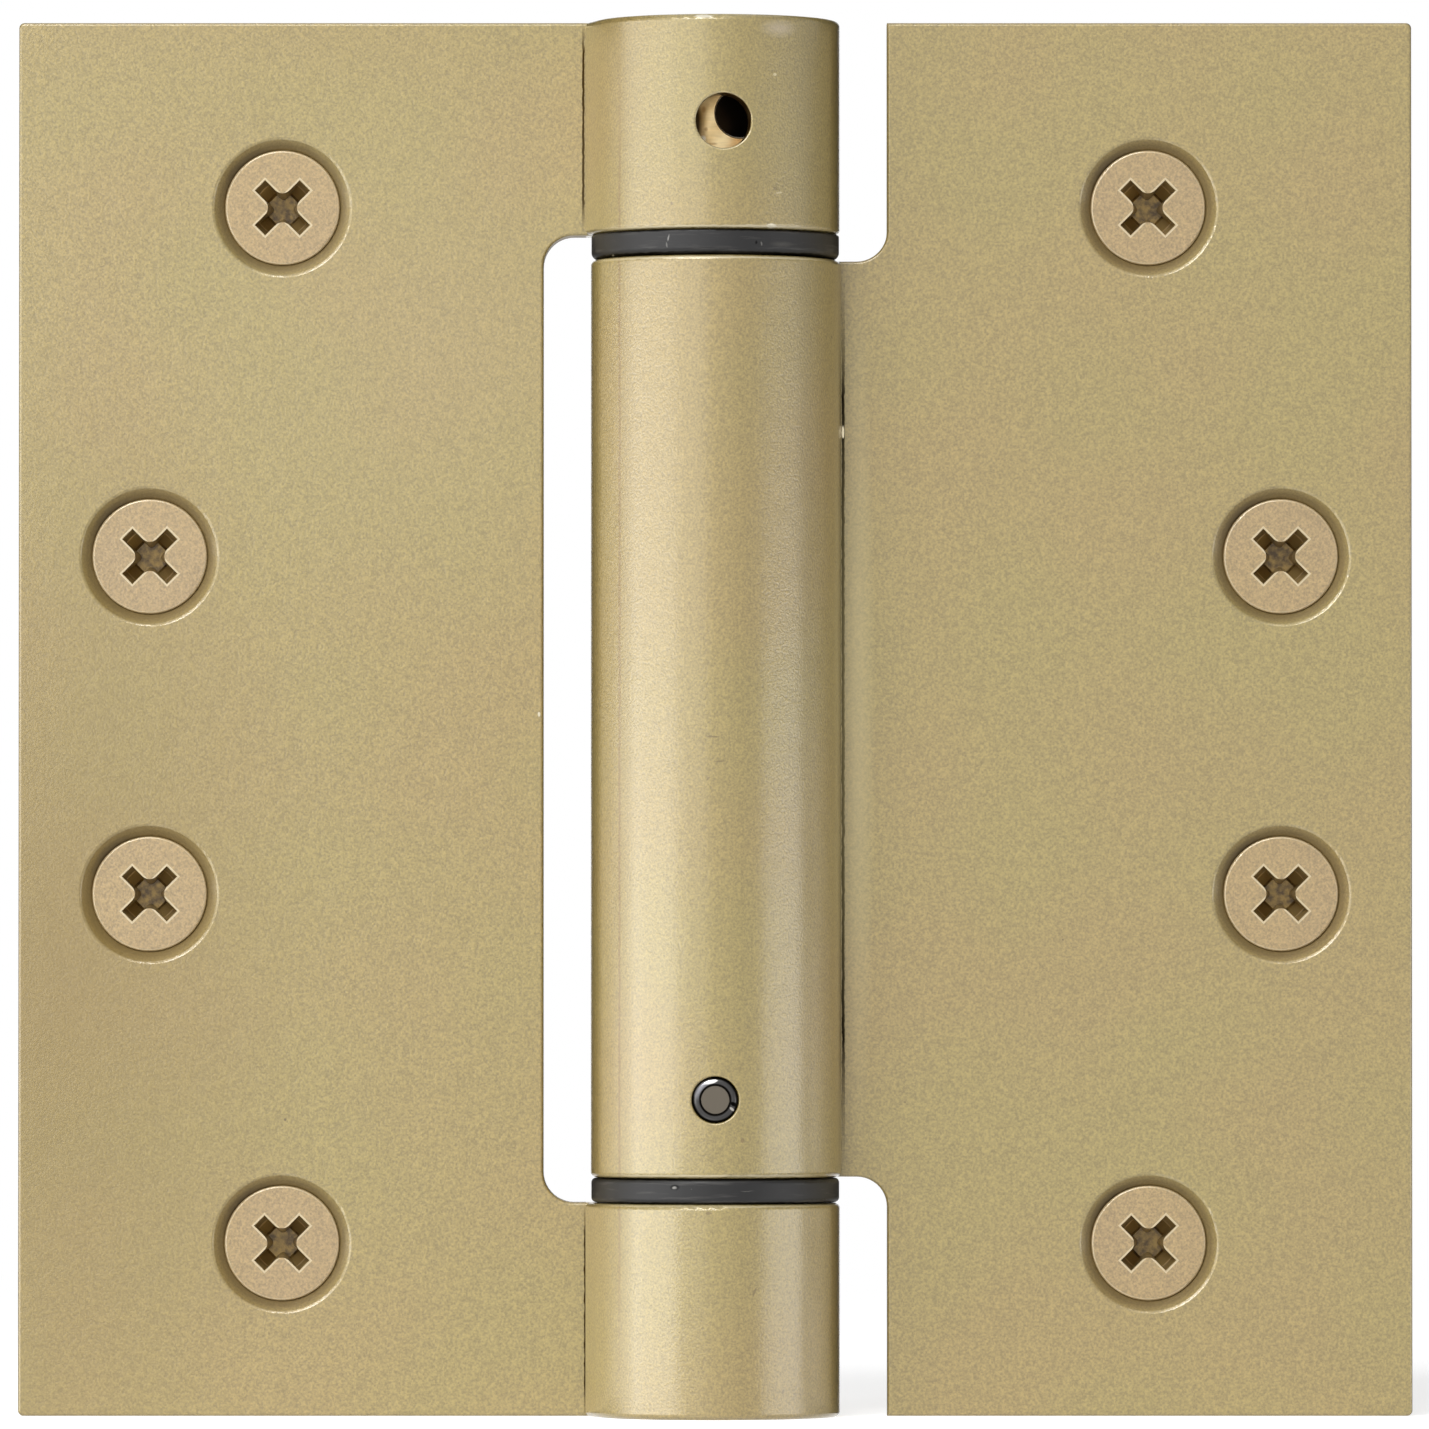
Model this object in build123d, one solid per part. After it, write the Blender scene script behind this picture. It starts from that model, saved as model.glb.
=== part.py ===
from build123d import *
from math import asin, atan2, cos, degrees, hypot, radians, sin, sqrt, tan
import os

# A full-mortise spring hinge, laid flat open at rest. Millimetres.
# The pivot axis is Z, with the origin on it at the lower end. The countersunk fronts face -Y,
# the frame leaf lies on the -X side and the barrel leaf on the +X side.

# Leaves
LEAF_HEIGHT = 114.3
OPEN_WIDTH = 114.3
LEAF_THICKNESS = 3.4
CLOSED_GAP = 1.6
NOTCH_CORNER = 2.5
LEAF_CORNER = 0.45
FRONT_EDGE_ROUND = 0.25

# Rolled barrel
BARREL_RADIUS = 10.2
SLOT_WIDTH = 3.9
END_KNUCKLE = 17.5
BACK_FILLET = 3.0
KNUCKLE_EDGE_ROUND = 0.45
SEAM_GAP = 0.15
TAIL_ROUND = 0.5
FRAME_TAIL_ANGLE = 16.0
BARREL_TAIL_ANGLE = 8.0

# Plastic bearing rings
RING_SPACE = 2.1
RING_PLAY = 0.05
RING_UNDERCUT = 0.05
RING_EDGE_ROUND = 0.4
WORN_EDGE_ROUND = 0.6
SHARP_EDGE_ROUND = 0.15

# Fits in the barrel
PRESS_GAP = 0.02
RUNNING_GAP = 0.06
BARREL_PLAY = 0.1
END_PLAY = 0.2
TURNED_CHAMFER = 0.4

# Tension spindle and the cap over it, measured down from the top
TOP_CAP_THICKNESS = 2.4
TOP_CAP_RECESS = 0.4
TOP_CAP_RIM = 2.58
TENSION_HOLE_DEPTH = 8.7
TENSION_HOLE_RADIUS = 2.25
TENSION_HOLE_AZIMUTH = 3.9
BORE_RIM_ROUND = 0.15
SPINDLE_HOLES = 6
SPINDLE_HOLE_RADIUS = 1.95
SPINDLE_HOLE_LENGTH = 2.6
SPINDLE_HOLE_RISE = 0.8
SPINDLE_HOLE_CHAMFER = 0.15
SPINDLE_REST_TURN = 17.5
KEY_FLATS = 4.8
KEY_DEPTH = 5.5
JOURNAL_REACH = 13.0

# Torsion spring and the slotted noses that hold its tangs
WIRE_SIZE = 2.7
COIL_GAP = 0.45
COIL_PLAY = 0.4
TANG_PLAY = 0.15
TANG_UNDERSIZE = 0.05
NOSE_PLAY = 0.5
NOSE_LENGTH = 8.5

# Spring hub and its pin, measured up from the bottom
HUB_PIN_HEIGHT = 26.0
HUB_PIN_RADIUS = 1.9
HUB_PIN_LENGTH = 13.0
HUB_PIN_CROWN = 0.45
HUB_PIN_FACE = 1.2
HUB_PIN_GROOVE = 0.08
HUB_PIN_SINK = 0.05
HUB_ABOVE_PIN = 6.5

# Caps and bushes
BOTTOM_CAP_THICKNESS = 3.0
UPPER_BUSH_LENGTH = 10.0
BUSH_WALL = 1.92
BUSH_CHAMFER = 0.3

# Screw places
NEAR_SCREW_SPACING = 85.0
FAR_SCREW_SPACING = 27.7
SCREWS_BELOW_MIDDLE = 0.5
EDGE_TO_FAR_SCREWS = 10.72
FAR_TO_NEAR_SCREWS = 10.88

# Wood screws
SCREW_LENGTH = 31.75
SHANK_RADIUS = 2.745
CORE_RADIUS = 1.95
SMOOTH_SHANK = 11.0
POINT_LENGTH = 6.5
POINT_RADIUS = 0.25
HEAD_RADIUS = 4.72
HEAD_RIM = 0.3
HEAD_EDGE_ROUND = 0.2
HEAD_ANGLE = 82.0
HOLE_PLAY = 0.15
SEAT_PLAY = 0.02
COUNTERSINK_RADIUS = 5.65
COUNTERSINK_RIM_ROUND = 0.3
RECESS_SPAN = 5.25
RECESS_WING = 1.22
RECESS_STEP = 1.5
RECESS_DEPTH = 3.1
RECESS_CORNER = 0.83
RECESS_TAPER = 13.25
POINT_TAPER = 33.0
WING_TAPER = 2.9
RECESS_TURN = 45.0

# Places worked out from the sizes above
HALF_WIDTH = OPEN_WIDTH / 2
FRONT_Y = CLOSED_GAP / 2
BACK_Y = FRONT_Y + LEAF_THICKNESS
BORE_RADIUS = BARREL_RADIUS - LEAF_THICKNESS
NOTCH_X = BARREL_RADIUS + SLOT_WIDTH
MIDDLE_BOTTOM = END_KNUCKLE + RING_SPACE
MIDDLE_TOP = LEAF_HEIGHT - MIDDLE_BOTTOM
TOP_KNUCKLE_BOTTOM = LEAF_HEIGHT - END_KNUCKLE
PRESSED_RADIUS = BORE_RADIUS - PRESS_GAP
TURNING_RADIUS = BORE_RADIUS - BARREL_PLAY
BUSH_BORE_RADIUS = PRESSED_RADIUS - BUSH_WALL
CAP_BORE_RADIUS = PRESSED_RADIUS - TOP_CAP_RIM
JOURNAL_RADIUS = BUSH_BORE_RADIUS - RUNNING_GAP
TENSION_HOLE_Z = LEAF_HEIGHT - TENSION_HOLE_DEPTH
HALF_WIRE = WIRE_SIZE / 2
COIL_RADIUS = BORE_RADIUS - COIL_PLAY - HALF_WIRE
COIL_PITCH = WIRE_SIZE + COIL_GAP
NOSE_RADIUS = COIL_RADIUS - HALF_WIRE - NOSE_PLAY
HUB_BODY_TOP = HUB_PIN_HEIGHT + HUB_ABOVE_PIN
SHANK_BOTTOM = TOP_KNUCKLE_BOTTOM - JOURNAL_REACH
LOWER_TANG_Z = HUB_BODY_TOP + TANG_PLAY + HALF_WIRE
UPPER_TANG_Z = SHANK_BOTTOM - TANG_PLAY - HALF_WIRE
COIL_TURNS = (UPPER_TANG_Z - LOWER_TANG_Z) / COIL_PITCH
UPPER_TANG_TURN = -360 * COIL_TURNS
SCREW_HOLE_RADIUS = SHANK_RADIUS + HOLE_PLAY
HEAD_SLOPE = tan(radians(HEAD_ANGLE / 2))
RIM_BOTTOM = (COUNTERSINK_RADIUS - HEAD_RADIUS) / HEAD_SLOPE - SEAT_PLAY
SCREW_TOP = RIM_BOTTOM - HEAD_RIM
CONE_BOTTOM = (COUNTERSINK_RADIUS - SHANK_RADIUS) / HEAD_SLOPE - SEAT_PLAY


def turned(*profile):
    """A round solid about Z, from the (radius, height) points of its half section."""
    outline = Polyline(*[(radius, 0, height) for radius, height in profile], close=True)
    return revolve(make_face(outline), Axis.Z)


def rolled_section(tail_angle):
    """Section of a leaf on the +X side with its knuckle.

    The sheet runs in along the back of the barrel and goes once round it, over the back, the far side
    and the front. It ends in a short straight tail that stands on the leaf's own front face.
    """
    blend_y = BACK_Y + BACK_FILLET
    blend_x = sqrt((BARREL_RADIUS + BACK_FILLET) ** 2 - blend_y**2)
    blend_angle = degrees(atan2(blend_y, blend_x))
    root_angle = degrees(asin(FRONT_Y / BORE_RADIUS))
    turn = radians(tail_angle)
    seam_y = FRONT_Y - SEAM_GAP
    outer = (BARREL_RADIUS * cos(turn), -BARREL_RADIUS * sin(turn))
    inner = (BORE_RADIUS * cos(turn), -BORE_RADIUS * sin(turn))
    outer_tip = (outer[0] + (seam_y - outer[1]) * tan(turn), seam_y)
    inner_tip = (inner[0] + (seam_y - inner[1]) * tan(turn), seam_y)
    root = (sqrt(BORE_RADIUS**2 - FRONT_Y**2), FRONT_Y)
    outline = [
        Line(root, (HALF_WIDTH, FRONT_Y)),
        Line((HALF_WIDTH, FRONT_Y), (HALF_WIDTH, BACK_Y)),
        Line((HALF_WIDTH, BACK_Y), (blend_x, BACK_Y)),
        CenterArc((blend_x, blend_y), BACK_FILLET, -90, blend_angle - 90),
        CenterArc((0, 0), BARREL_RADIUS, blend_angle, 360 - tail_angle - blend_angle),
        Line(outer, outer_tip),
        Line(outer_tip, inner_tip),
        Line(inner_tip, inner),
        CenterArc((0, 0), BORE_RADIUS, -tail_angle, tail_angle + root_angle - 360),
    ]
    section = make_face(outline)
    tip = section.vertices().sort_by_distance(outer_tip)[0]
    return fillet(tip, TAIL_ROUND)


def knuckle_strip(tail_angle, low, high):
    """A full-width strip of leaf with its rolled knuckle, between two heights."""
    return extrude(Pos(0, 0, low) * rolled_section(tail_angle), high - low)


def plain_strip(low, high):
    """A strip of leaf cut back to the notch, between two heights."""
    corner = (Align.MIN, Align.MIN, Align.MIN)
    return Pos(NOTCH_X, FRONT_Y, low) * Box(HALF_WIDTH - NOTCH_X, LEAF_THICKNESS, high - low, align=corner)


def round_corners(blank):
    """Round the leaf's outer corners and the inner corners of the notches, where the blank was cut."""
    uprights = blank.edges().filter_by(Axis.Y)
    notches = [
        edge
        for edge in uprights
        if abs(edge.center().X - NOTCH_X) < 0.01 and 1 < edge.center().Z < LEAF_HEIGHT - 1
    ]
    blank = fillet(notches, NOTCH_CORNER)
    outer = [edge for edge in blank.edges().filter_by(Axis.Y) if abs(edge.center().X - HALF_WIDTH) < 0.01]
    return fillet(outer, LEAF_CORNER)


def round_knuckle_ends(blank, heights):
    """Round the outer edges of the sheet at the ends of the knuckles."""
    ends = [
        edge
        for height in heights
        for edge in blank.edges().filter_by(GeomType.CIRCLE)
        if abs(edge.center().Z - height) < 0.01 and abs(edge.radius - BARREL_RADIUS) < 0.01
    ]
    return fillet(ends, KNUCKLE_EDGE_ROUND)


def round_front_edges(blank):
    """Round the edges of the leaf's front face, as the stamping leaves them."""
    edges = [
        edge
        for edge in blank.edges()
        if max(abs((edge @ step).Y - FRONT_Y) for step in (0, 0.5, 1)) < 0.01
        and edge.center().X > BORE_RADIUS
    ]
    return fillet(edges, FRONT_EDGE_ROUND)


def screw_places(side):
    """Centres of the four screws on the leaf's front face, side -1 for the frame leaf and 1 for the other."""
    far = HALF_WIDTH - EDGE_TO_FAR_SCREWS
    near = far - FAR_TO_NEAR_SCREWS
    middle = LEAF_HEIGHT / 2 - SCREWS_BELOW_MIDDLE
    rise = NEAR_SCREW_SPACING / 2
    step = FAR_SCREW_SPACING / 2
    places = ((near, middle + rise), (far, middle + step), (far, middle - step), (near, middle - rise))
    return [Pos(side * x, FRONT_Y, z) * Rot(X=-90) for x, z in places]


def countersink():
    """The cutter for a screw's hole, with its axis on Z and the leaf's front at height 0."""
    cone_depth = (COUNTERSINK_RADIUS - SCREW_HOLE_RADIUS) / HEAD_SLOPE
    through = LEAF_THICKNESS + 1
    return turned(
        (0, -1),
        (COUNTERSINK_RADIUS, -1),
        (COUNTERSINK_RADIUS, 0),
        (SCREW_HOLE_RADIUS, cone_depth),
        (SCREW_HOLE_RADIUS, through),
        (0, through),
    )


def finished_leaf(blank, knuckle_ends, side):
    """Round the blank's edges, put it on its side of the barrel and sink its screw holes."""
    leaf = round_front_edges(round_knuckle_ends(round_corners(blank), knuckle_ends))
    if side < 0:
        leaf = mirror(leaf, about=Plane.YZ)
    leaf -= [place * countersink() for place in screw_places(side)]
    circles = leaf.edges().filter_by(GeomType.CIRCLE)
    rims = [edge for edge in circles if abs(edge.radius - COUNTERSINK_RADIUS) < 0.01]
    return fillet(rims, COUNTERSINK_RIM_ROUND)


def radial_bore(radius, azimuth, height, start, end):
    """A round cutter across the barrel at this height, its azimuth turned from -Y towards +X."""
    bore = Cylinder(radius, end - start, align=(Align.CENTER, Align.CENTER, Align.MIN))
    return Pos(0, 0, height) * Rot(Z=azimuth) * Rot(X=90) * Pos(0, 0, start) * bore


def bore_rims(solid, around, radius, height):
    """The rims of the radial bores at this height, where they open on a round surface of the radius around."""

    def is_rim(edge):
        points = [edge @ step for step in (0, 0.3, 0.6, 1)]
        return all(
            abs(hypot(point.X, point.Y) - around) < 0.01 and abs(point.Z - height) < radius + 0.01
            for point in points
        )

    return [edge for edge in solid.edges() if is_rim(edge)]


def frame_leaf():
    blank = plain_strip(END_KNUCKLE, TOP_KNUCKLE_BOTTOM)
    blank += knuckle_strip(FRAME_TAIL_ANGLE, 0, END_KNUCKLE)
    blank += knuckle_strip(FRAME_TAIL_ANGLE, TOP_KNUCKLE_BOTTOM, LEAF_HEIGHT)
    leaf = finished_leaf(blank, (0, END_KNUCKLE, TOP_KNUCKLE_BOTTOM, LEAF_HEIGHT), -1)
    leaf -= radial_bore(
        TENSION_HOLE_RADIUS, TENSION_HOLE_AZIMUTH, TENSION_HOLE_Z, BORE_RADIUS - 1, BARREL_RADIUS + 1
    )
    return fillet(bore_rims(leaf, BARREL_RADIUS, TENSION_HOLE_RADIUS, TENSION_HOLE_Z), BORE_RIM_ROUND)


def barrel_leaf():
    blank = knuckle_strip(BARREL_TAIL_ANGLE, MIDDLE_BOTTOM, MIDDLE_TOP)
    blank += plain_strip(0, MIDDLE_BOTTOM)
    blank += plain_strip(MIDDLE_TOP, LEAF_HEIGHT)
    leaf = finished_leaf(blank, (MIDDLE_BOTTOM, MIDDLE_TOP), 1)
    leaf -= radial_bore(HUB_PIN_RADIUS, 0, HUB_PIN_HEIGHT, BORE_RADIUS - 1, BARREL_RADIUS + 1)
    return fillet(bore_rims(leaf, BARREL_RADIUS, HUB_PIN_RADIUS, HUB_PIN_HEIGHT), BORE_RIM_ROUND)


def bearing_ring(low, lower_round, upper_round):
    """A plastic ring that fills the space between two knuckles, with its outer edges rounded."""
    radius = BARREL_RADIUS - RING_UNDERCUT
    high = low + RING_SPACE - 2 * RING_PLAY
    ring = turned((BUSH_BORE_RADIUS, low), (radius, low), (radius, high), (BUSH_BORE_RADIUS, high))
    rims = ring.edges().filter_by(GeomType.CIRCLE).group_by(SortBy.RADIUS)[-1].sort_by(Axis.Z)
    ring = fillet(rims[0], lower_round)
    upper_rim = ring.edges().filter_by(GeomType.CIRCLE).group_by(Axis.Z)[-1].sort_by(SortBy.RADIUS)[-1]
    return fillet(upper_rim, upper_round)


def bush(low, high):
    """A bush pressed in the barrel, with its bore chamfered at both ends."""
    return turned(
        (BUSH_BORE_RADIUS, low + BUSH_CHAMFER),
        (BUSH_BORE_RADIUS + BUSH_CHAMFER, low),
        (PRESSED_RADIUS, low),
        (PRESSED_RADIUS, high),
        (BUSH_BORE_RADIUS + BUSH_CHAMFER, high),
        (BUSH_BORE_RADIUS, high - BUSH_CHAMFER),
    )


def tang_slot(turn, low, high):
    """The slot across a nose for one of the spring's tangs."""
    base = (Align.CENTER, Align.CENTER, Align.MIN)
    width = WIRE_SIZE + 2 * TANG_PLAY
    return Pos(0, 0, low) * Rot(Z=turn) * Box(4 * NOSE_RADIUS, width, high - low, align=base)


def tension_spindle():
    """The stepped spindle: key socket and ring of pin holes in its head, shank in the bush, slotted nose."""
    head_bottom = TOP_KNUCKLE_BOTTOM
    head_top = LEAF_HEIGHT - TOP_CAP_RECESS - TOP_CAP_THICKNESS - END_PLAY
    nose_bottom = SHANK_BOTTOM - NOSE_LENGTH
    spindle = turned(
        (0, nose_bottom),
        (NOSE_RADIUS - TURNED_CHAMFER, nose_bottom),
        (NOSE_RADIUS, nose_bottom + TURNED_CHAMFER),
        (NOSE_RADIUS, SHANK_BOTTOM),
        (JOURNAL_RADIUS - TURNED_CHAMFER, SHANK_BOTTOM),
        (JOURNAL_RADIUS, SHANK_BOTTOM + TURNED_CHAMFER),
        (JOURNAL_RADIUS, head_bottom),
        (TURNING_RADIUS - TURNED_CHAMFER, head_bottom),
        (TURNING_RADIUS, head_bottom + TURNED_CHAMFER),
        (TURNING_RADIUS, head_top - TURNED_CHAMFER),
        (TURNING_RADIUS - TURNED_CHAMFER, head_top),
        (0, head_top),
    )
    key = RegularPolygon(KEY_FLATS / 2, 6, major_radius=False)
    spindle -= extrude(Pos(0, 0, head_top - KEY_DEPTH) * key, KEY_DEPTH)
    for index in range(SPINDLE_HOLES):
        spindle -= radial_bore(
            SPINDLE_HOLE_RADIUS,
            SPINDLE_REST_TURN + index * 360 / SPINDLE_HOLES,
            TENSION_HOLE_Z + SPINDLE_HOLE_RISE,
            TURNING_RADIUS - SPINDLE_HOLE_LENGTH,
            BORE_RADIUS,
        )
    rims = bore_rims(spindle, TURNING_RADIUS, SPINDLE_HOLE_RADIUS, TENSION_HOLE_Z + SPINDLE_HOLE_RISE)
    spindle = chamfer(rims, SPINDLE_HOLE_CHAMFER)
    return spindle - tang_slot(UPPER_TANG_TURN, nose_bottom, SHANK_BOTTOM)


def spring_hub():
    """The plug pinned in the middle knuckle: journal below, body at the pin, slotted nose above."""
    journal_bottom = BOTTOM_CAP_THICKNESS + END_PLAY
    nose_top = HUB_BODY_TOP + NOSE_LENGTH
    hub = turned(
        (0, journal_bottom),
        (JOURNAL_RADIUS - TURNED_CHAMFER, journal_bottom),
        (JOURNAL_RADIUS, journal_bottom + TURNED_CHAMFER),
        (JOURNAL_RADIUS, MIDDLE_BOTTOM),
        (PRESSED_RADIUS - TURNED_CHAMFER, MIDDLE_BOTTOM),
        (PRESSED_RADIUS, MIDDLE_BOTTOM + TURNED_CHAMFER),
        (PRESSED_RADIUS, HUB_BODY_TOP - TURNED_CHAMFER),
        (PRESSED_RADIUS - TURNED_CHAMFER, HUB_BODY_TOP),
        (NOSE_RADIUS, HUB_BODY_TOP),
        (NOSE_RADIUS, nose_top - TURNED_CHAMFER),
        (NOSE_RADIUS - TURNED_CHAMFER, nose_top),
        (0, nose_top),
    )
    pin_hole_end = BARREL_RADIUS - HUB_PIN_LENGTH - END_PLAY
    hub -= radial_bore(HUB_PIN_RADIUS, 0, HUB_PIN_HEIGHT, pin_hole_end, BARREL_RADIUS)
    return hub - tang_slot(0, HUB_BODY_TOP, nose_top)


def hub_pin():
    """The drive pin through the barrel's wall into the hub, its outer end crowned and nearly flush.

    A fine groove parts the crown from the flat face within it.
    """
    radius = HUB_PIN_RADIUS - PRESS_GAP
    pin = turned(
        (0, 0),
        (radius - TURNED_CHAMFER, 0),
        (radius, TURNED_CHAMFER),
        (radius, HUB_PIN_LENGTH),
        (HUB_PIN_FACE + HUB_PIN_GROOVE, HUB_PIN_LENGTH),
        (HUB_PIN_FACE, HUB_PIN_LENGTH - HUB_PIN_GROOVE),
        (HUB_PIN_FACE - HUB_PIN_GROOVE, HUB_PIN_LENGTH),
        (0, HUB_PIN_LENGTH),
    )
    end = pin.edges().filter_by_position(Axis.Z, HUB_PIN_LENGTH, HUB_PIN_LENGTH)
    pin = fillet(end.filter_by(GeomType.CIRCLE).sort_by(SortBy.RADIUS)[-1], HUB_PIN_CROWN)
    inner_end = BARREL_RADIUS - HUB_PIN_SINK - HUB_PIN_LENGTH
    return Pos(0, 0, HUB_PIN_HEIGHT) * Rot(X=90) * Pos(0, 0, inner_end) * pin


def torsion_spring():
    """A close coil of square wire, wound tighter by its load, with a straight tang across each end."""
    coil = Helix(COIL_PITCH, UPPER_TANG_Z - LOWER_TANG_Z, COIL_RADIUS, lefthand=True)
    wire = Plane(origin=coil @ 0, x_dir=(1, 0, 0), z_dir=coil % 0) * Rectangle(WIRE_SIZE, WIRE_SIZE)
    spring = Pos(0, 0, LOWER_TANG_Z) * sweep(wire, path=coil, is_frenet=True)
    outer_end = COIL_RADIUS + HALF_WIRE - TANG_UNDERSIZE
    tang_size = WIRE_SIZE - TANG_UNDERSIZE
    outward = (Align.MAX, Align.CENTER, Align.CENTER)
    tang = Pos(outer_end, 0, 0) * Box(outer_end + NOSE_RADIUS, tang_size, tang_size, align=outward)
    spring += Pos(0, 0, LOWER_TANG_Z) * tang
    spring += Pos(0, 0, UPPER_TANG_Z) * Rot(Z=UPPER_TANG_TURN) * tang
    return spring


def top_cap():
    """The ring pressed over the spindle, open for the key."""
    high = LEAF_HEIGHT - TOP_CAP_RECESS
    low = high - TOP_CAP_THICKNESS
    return turned(
        (CAP_BORE_RADIUS, low),
        (PRESSED_RADIUS, low),
        (PRESSED_RADIUS, high - TURNED_CHAMFER),
        (PRESSED_RADIUS - TURNED_CHAMFER, high),
        (CAP_BORE_RADIUS + TURNED_CHAMFER, high),
        (CAP_BORE_RADIUS, high - TURNED_CHAMFER),
    )


def bottom_cap():
    """The plug that closes the bottom knuckle, flush with its lower end."""
    return turned(
        (0, 0),
        (PRESSED_RADIUS - TURNED_CHAMFER, 0),
        (PRESSED_RADIUS, TURNED_CHAMFER),
        (PRESSED_RADIUS, BOTTOM_CAP_THICKNESS),
        (0, BOTTOM_CAP_THICKNESS),
    )


def cross_section(depth):
    """The cross recess at this depth: further down its wings are smaller and its inner corners sharper.

    Below the step the wings' ends turn in faster, towards the point of the punch.
    """
    step = min(depth, RECESS_STEP)
    turned_in = step * tan(radians(RECESS_TAPER)) + (depth - step) * tan(radians(POINT_TAPER))
    span = RECESS_SPAN - 2 * turned_in
    wing = RECESS_WING - 2 * depth * tan(radians(WING_TAPER))
    cross = Rectangle(span, wing) + Rectangle(wing, span)
    inner = [corner for corner in cross.vertices() if hypot(corner.X, corner.Y) < wing]
    return Pos(0, 0, depth) * fillet(inner, RECESS_CORNER * span / RECESS_SPAN)


def cross_recess():
    """The cutter for the tapered cross recess, down from the top of the head."""
    sections = [cross_section(depth) for depth in (0, RECESS_STEP, RECESS_DEPTH)]
    return Rot(Z=RECESS_TURN) * loft(sections, ruled=True)


def wood_screw():
    """A flat-head wood screw on Z, as it sits in a leaf whose front is at height 0, with no thread cut."""
    tip = SCREW_TOP + SCREW_LENGTH
    shank_end = SCREW_TOP + SMOOTH_SHANK
    step = SHANK_RADIUS - CORE_RADIUS
    screw = turned(
        (0, SCREW_TOP),
        (HEAD_RADIUS, SCREW_TOP),
        (HEAD_RADIUS, RIM_BOTTOM),
        (SHANK_RADIUS, CONE_BOTTOM),
        (SHANK_RADIUS, shank_end),
        (CORE_RADIUS, shank_end + step),
        (CORE_RADIUS, tip - POINT_LENGTH),
        (POINT_RADIUS, tip),
        (0, tip),
    )
    head_edge = screw.edges().filter_by(GeomType.CIRCLE).sort_by(Axis.Z)[0]
    return fillet(head_edge, HEAD_EDGE_ROUND) - Pos(0, 0, SCREW_TOP) * cross_recess()


def pieces():
    """Every piece of the hinge, by name."""
    made = {
        "frame_leaf": frame_leaf(),
        "barrel_leaf": barrel_leaf(),
        "upper_bearing_ring": bearing_ring(MIDDLE_TOP + RING_PLAY, WORN_EDGE_ROUND, SHARP_EDGE_ROUND),
        "lower_bearing_ring": bearing_ring(END_KNUCKLE + RING_PLAY, RING_EDGE_ROUND, RING_EDGE_ROUND),
        "tension_spindle": tension_spindle(),
        "top_cap": top_cap(),
        "upper_bush": bush(MIDDLE_TOP - END_PLAY - UPPER_BUSH_LENGTH, MIDDLE_TOP - END_PLAY),
        "torsion_spring": torsion_spring(),
        "spring_hub": spring_hub(),
        "hub_pin": hub_pin(),
        "lower_bush": bush(BOTTOM_CAP_THICKNESS + END_PLAY, END_KNUCKLE - END_PLAY),
        "bottom_cap": bottom_cap(),
    }
    screw = wood_screw()
    for leaf, side in (("frame", -1), ("leaf", 1)):
        for number, place in enumerate(screw_places(side), start=1):
            made[f"{leaf}_screw_{number}"] = place * screw
    return made


os.makedirs("parts", exist_ok=True)
for name, piece in pieces().items():
    export_step(piece, f"parts/{name}.step")
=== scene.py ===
import logging
from dataclasses import dataclass
from enum import Enum
from math import cos, pi, radians, sin
from typing import Any

import bmesh
import bpy
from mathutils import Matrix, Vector


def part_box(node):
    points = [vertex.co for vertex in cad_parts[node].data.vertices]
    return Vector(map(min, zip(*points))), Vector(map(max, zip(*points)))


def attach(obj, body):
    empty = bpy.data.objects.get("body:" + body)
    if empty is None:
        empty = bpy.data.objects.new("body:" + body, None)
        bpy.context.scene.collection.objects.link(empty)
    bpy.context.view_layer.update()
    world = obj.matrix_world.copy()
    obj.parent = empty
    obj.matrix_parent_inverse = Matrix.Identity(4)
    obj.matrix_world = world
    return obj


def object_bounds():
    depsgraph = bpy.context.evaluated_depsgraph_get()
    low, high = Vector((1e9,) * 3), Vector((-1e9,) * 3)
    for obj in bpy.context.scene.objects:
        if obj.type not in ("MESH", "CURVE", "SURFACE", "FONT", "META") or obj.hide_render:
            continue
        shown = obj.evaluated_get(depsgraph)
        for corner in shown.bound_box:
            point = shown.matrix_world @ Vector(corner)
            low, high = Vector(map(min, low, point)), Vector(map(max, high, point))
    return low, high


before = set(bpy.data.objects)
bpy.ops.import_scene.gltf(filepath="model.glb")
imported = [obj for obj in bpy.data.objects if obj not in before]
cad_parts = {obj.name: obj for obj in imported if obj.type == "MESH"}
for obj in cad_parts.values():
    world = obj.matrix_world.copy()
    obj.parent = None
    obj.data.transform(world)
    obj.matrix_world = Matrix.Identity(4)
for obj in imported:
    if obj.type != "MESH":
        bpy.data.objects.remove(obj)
CAD_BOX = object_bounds()

Material = bpy.types.Material
Node = bpy.types.Node
Socket = bpy.types.NodeSocket
Tree = bpy.types.NodeTree
Source = Node | Socket

LOG = logging.getLogger("spring_hinge")
MM = 0.001
WHITE = (1.0, 1.0, 1.0, 1.0)

# The kinds of node that are used most.
MATH = "ShaderNodeMath"
VECTOR_MATH = "ShaderNodeVectorMath"
MAP_RANGE = "ShaderNodeMapRange"
NOISE = "ShaderNodeTexNoise"
SPLIT = "ShaderNodeSeparateXYZ"


class Body(Enum):
    """The bodies of the hinge that new pieces ride on."""

    FRAME = "frame"
    LEAF = "leaf"


class Slot(Enum):
    """The record's material slots that new pieces take."""

    SCREW = "screw_brass"


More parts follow.
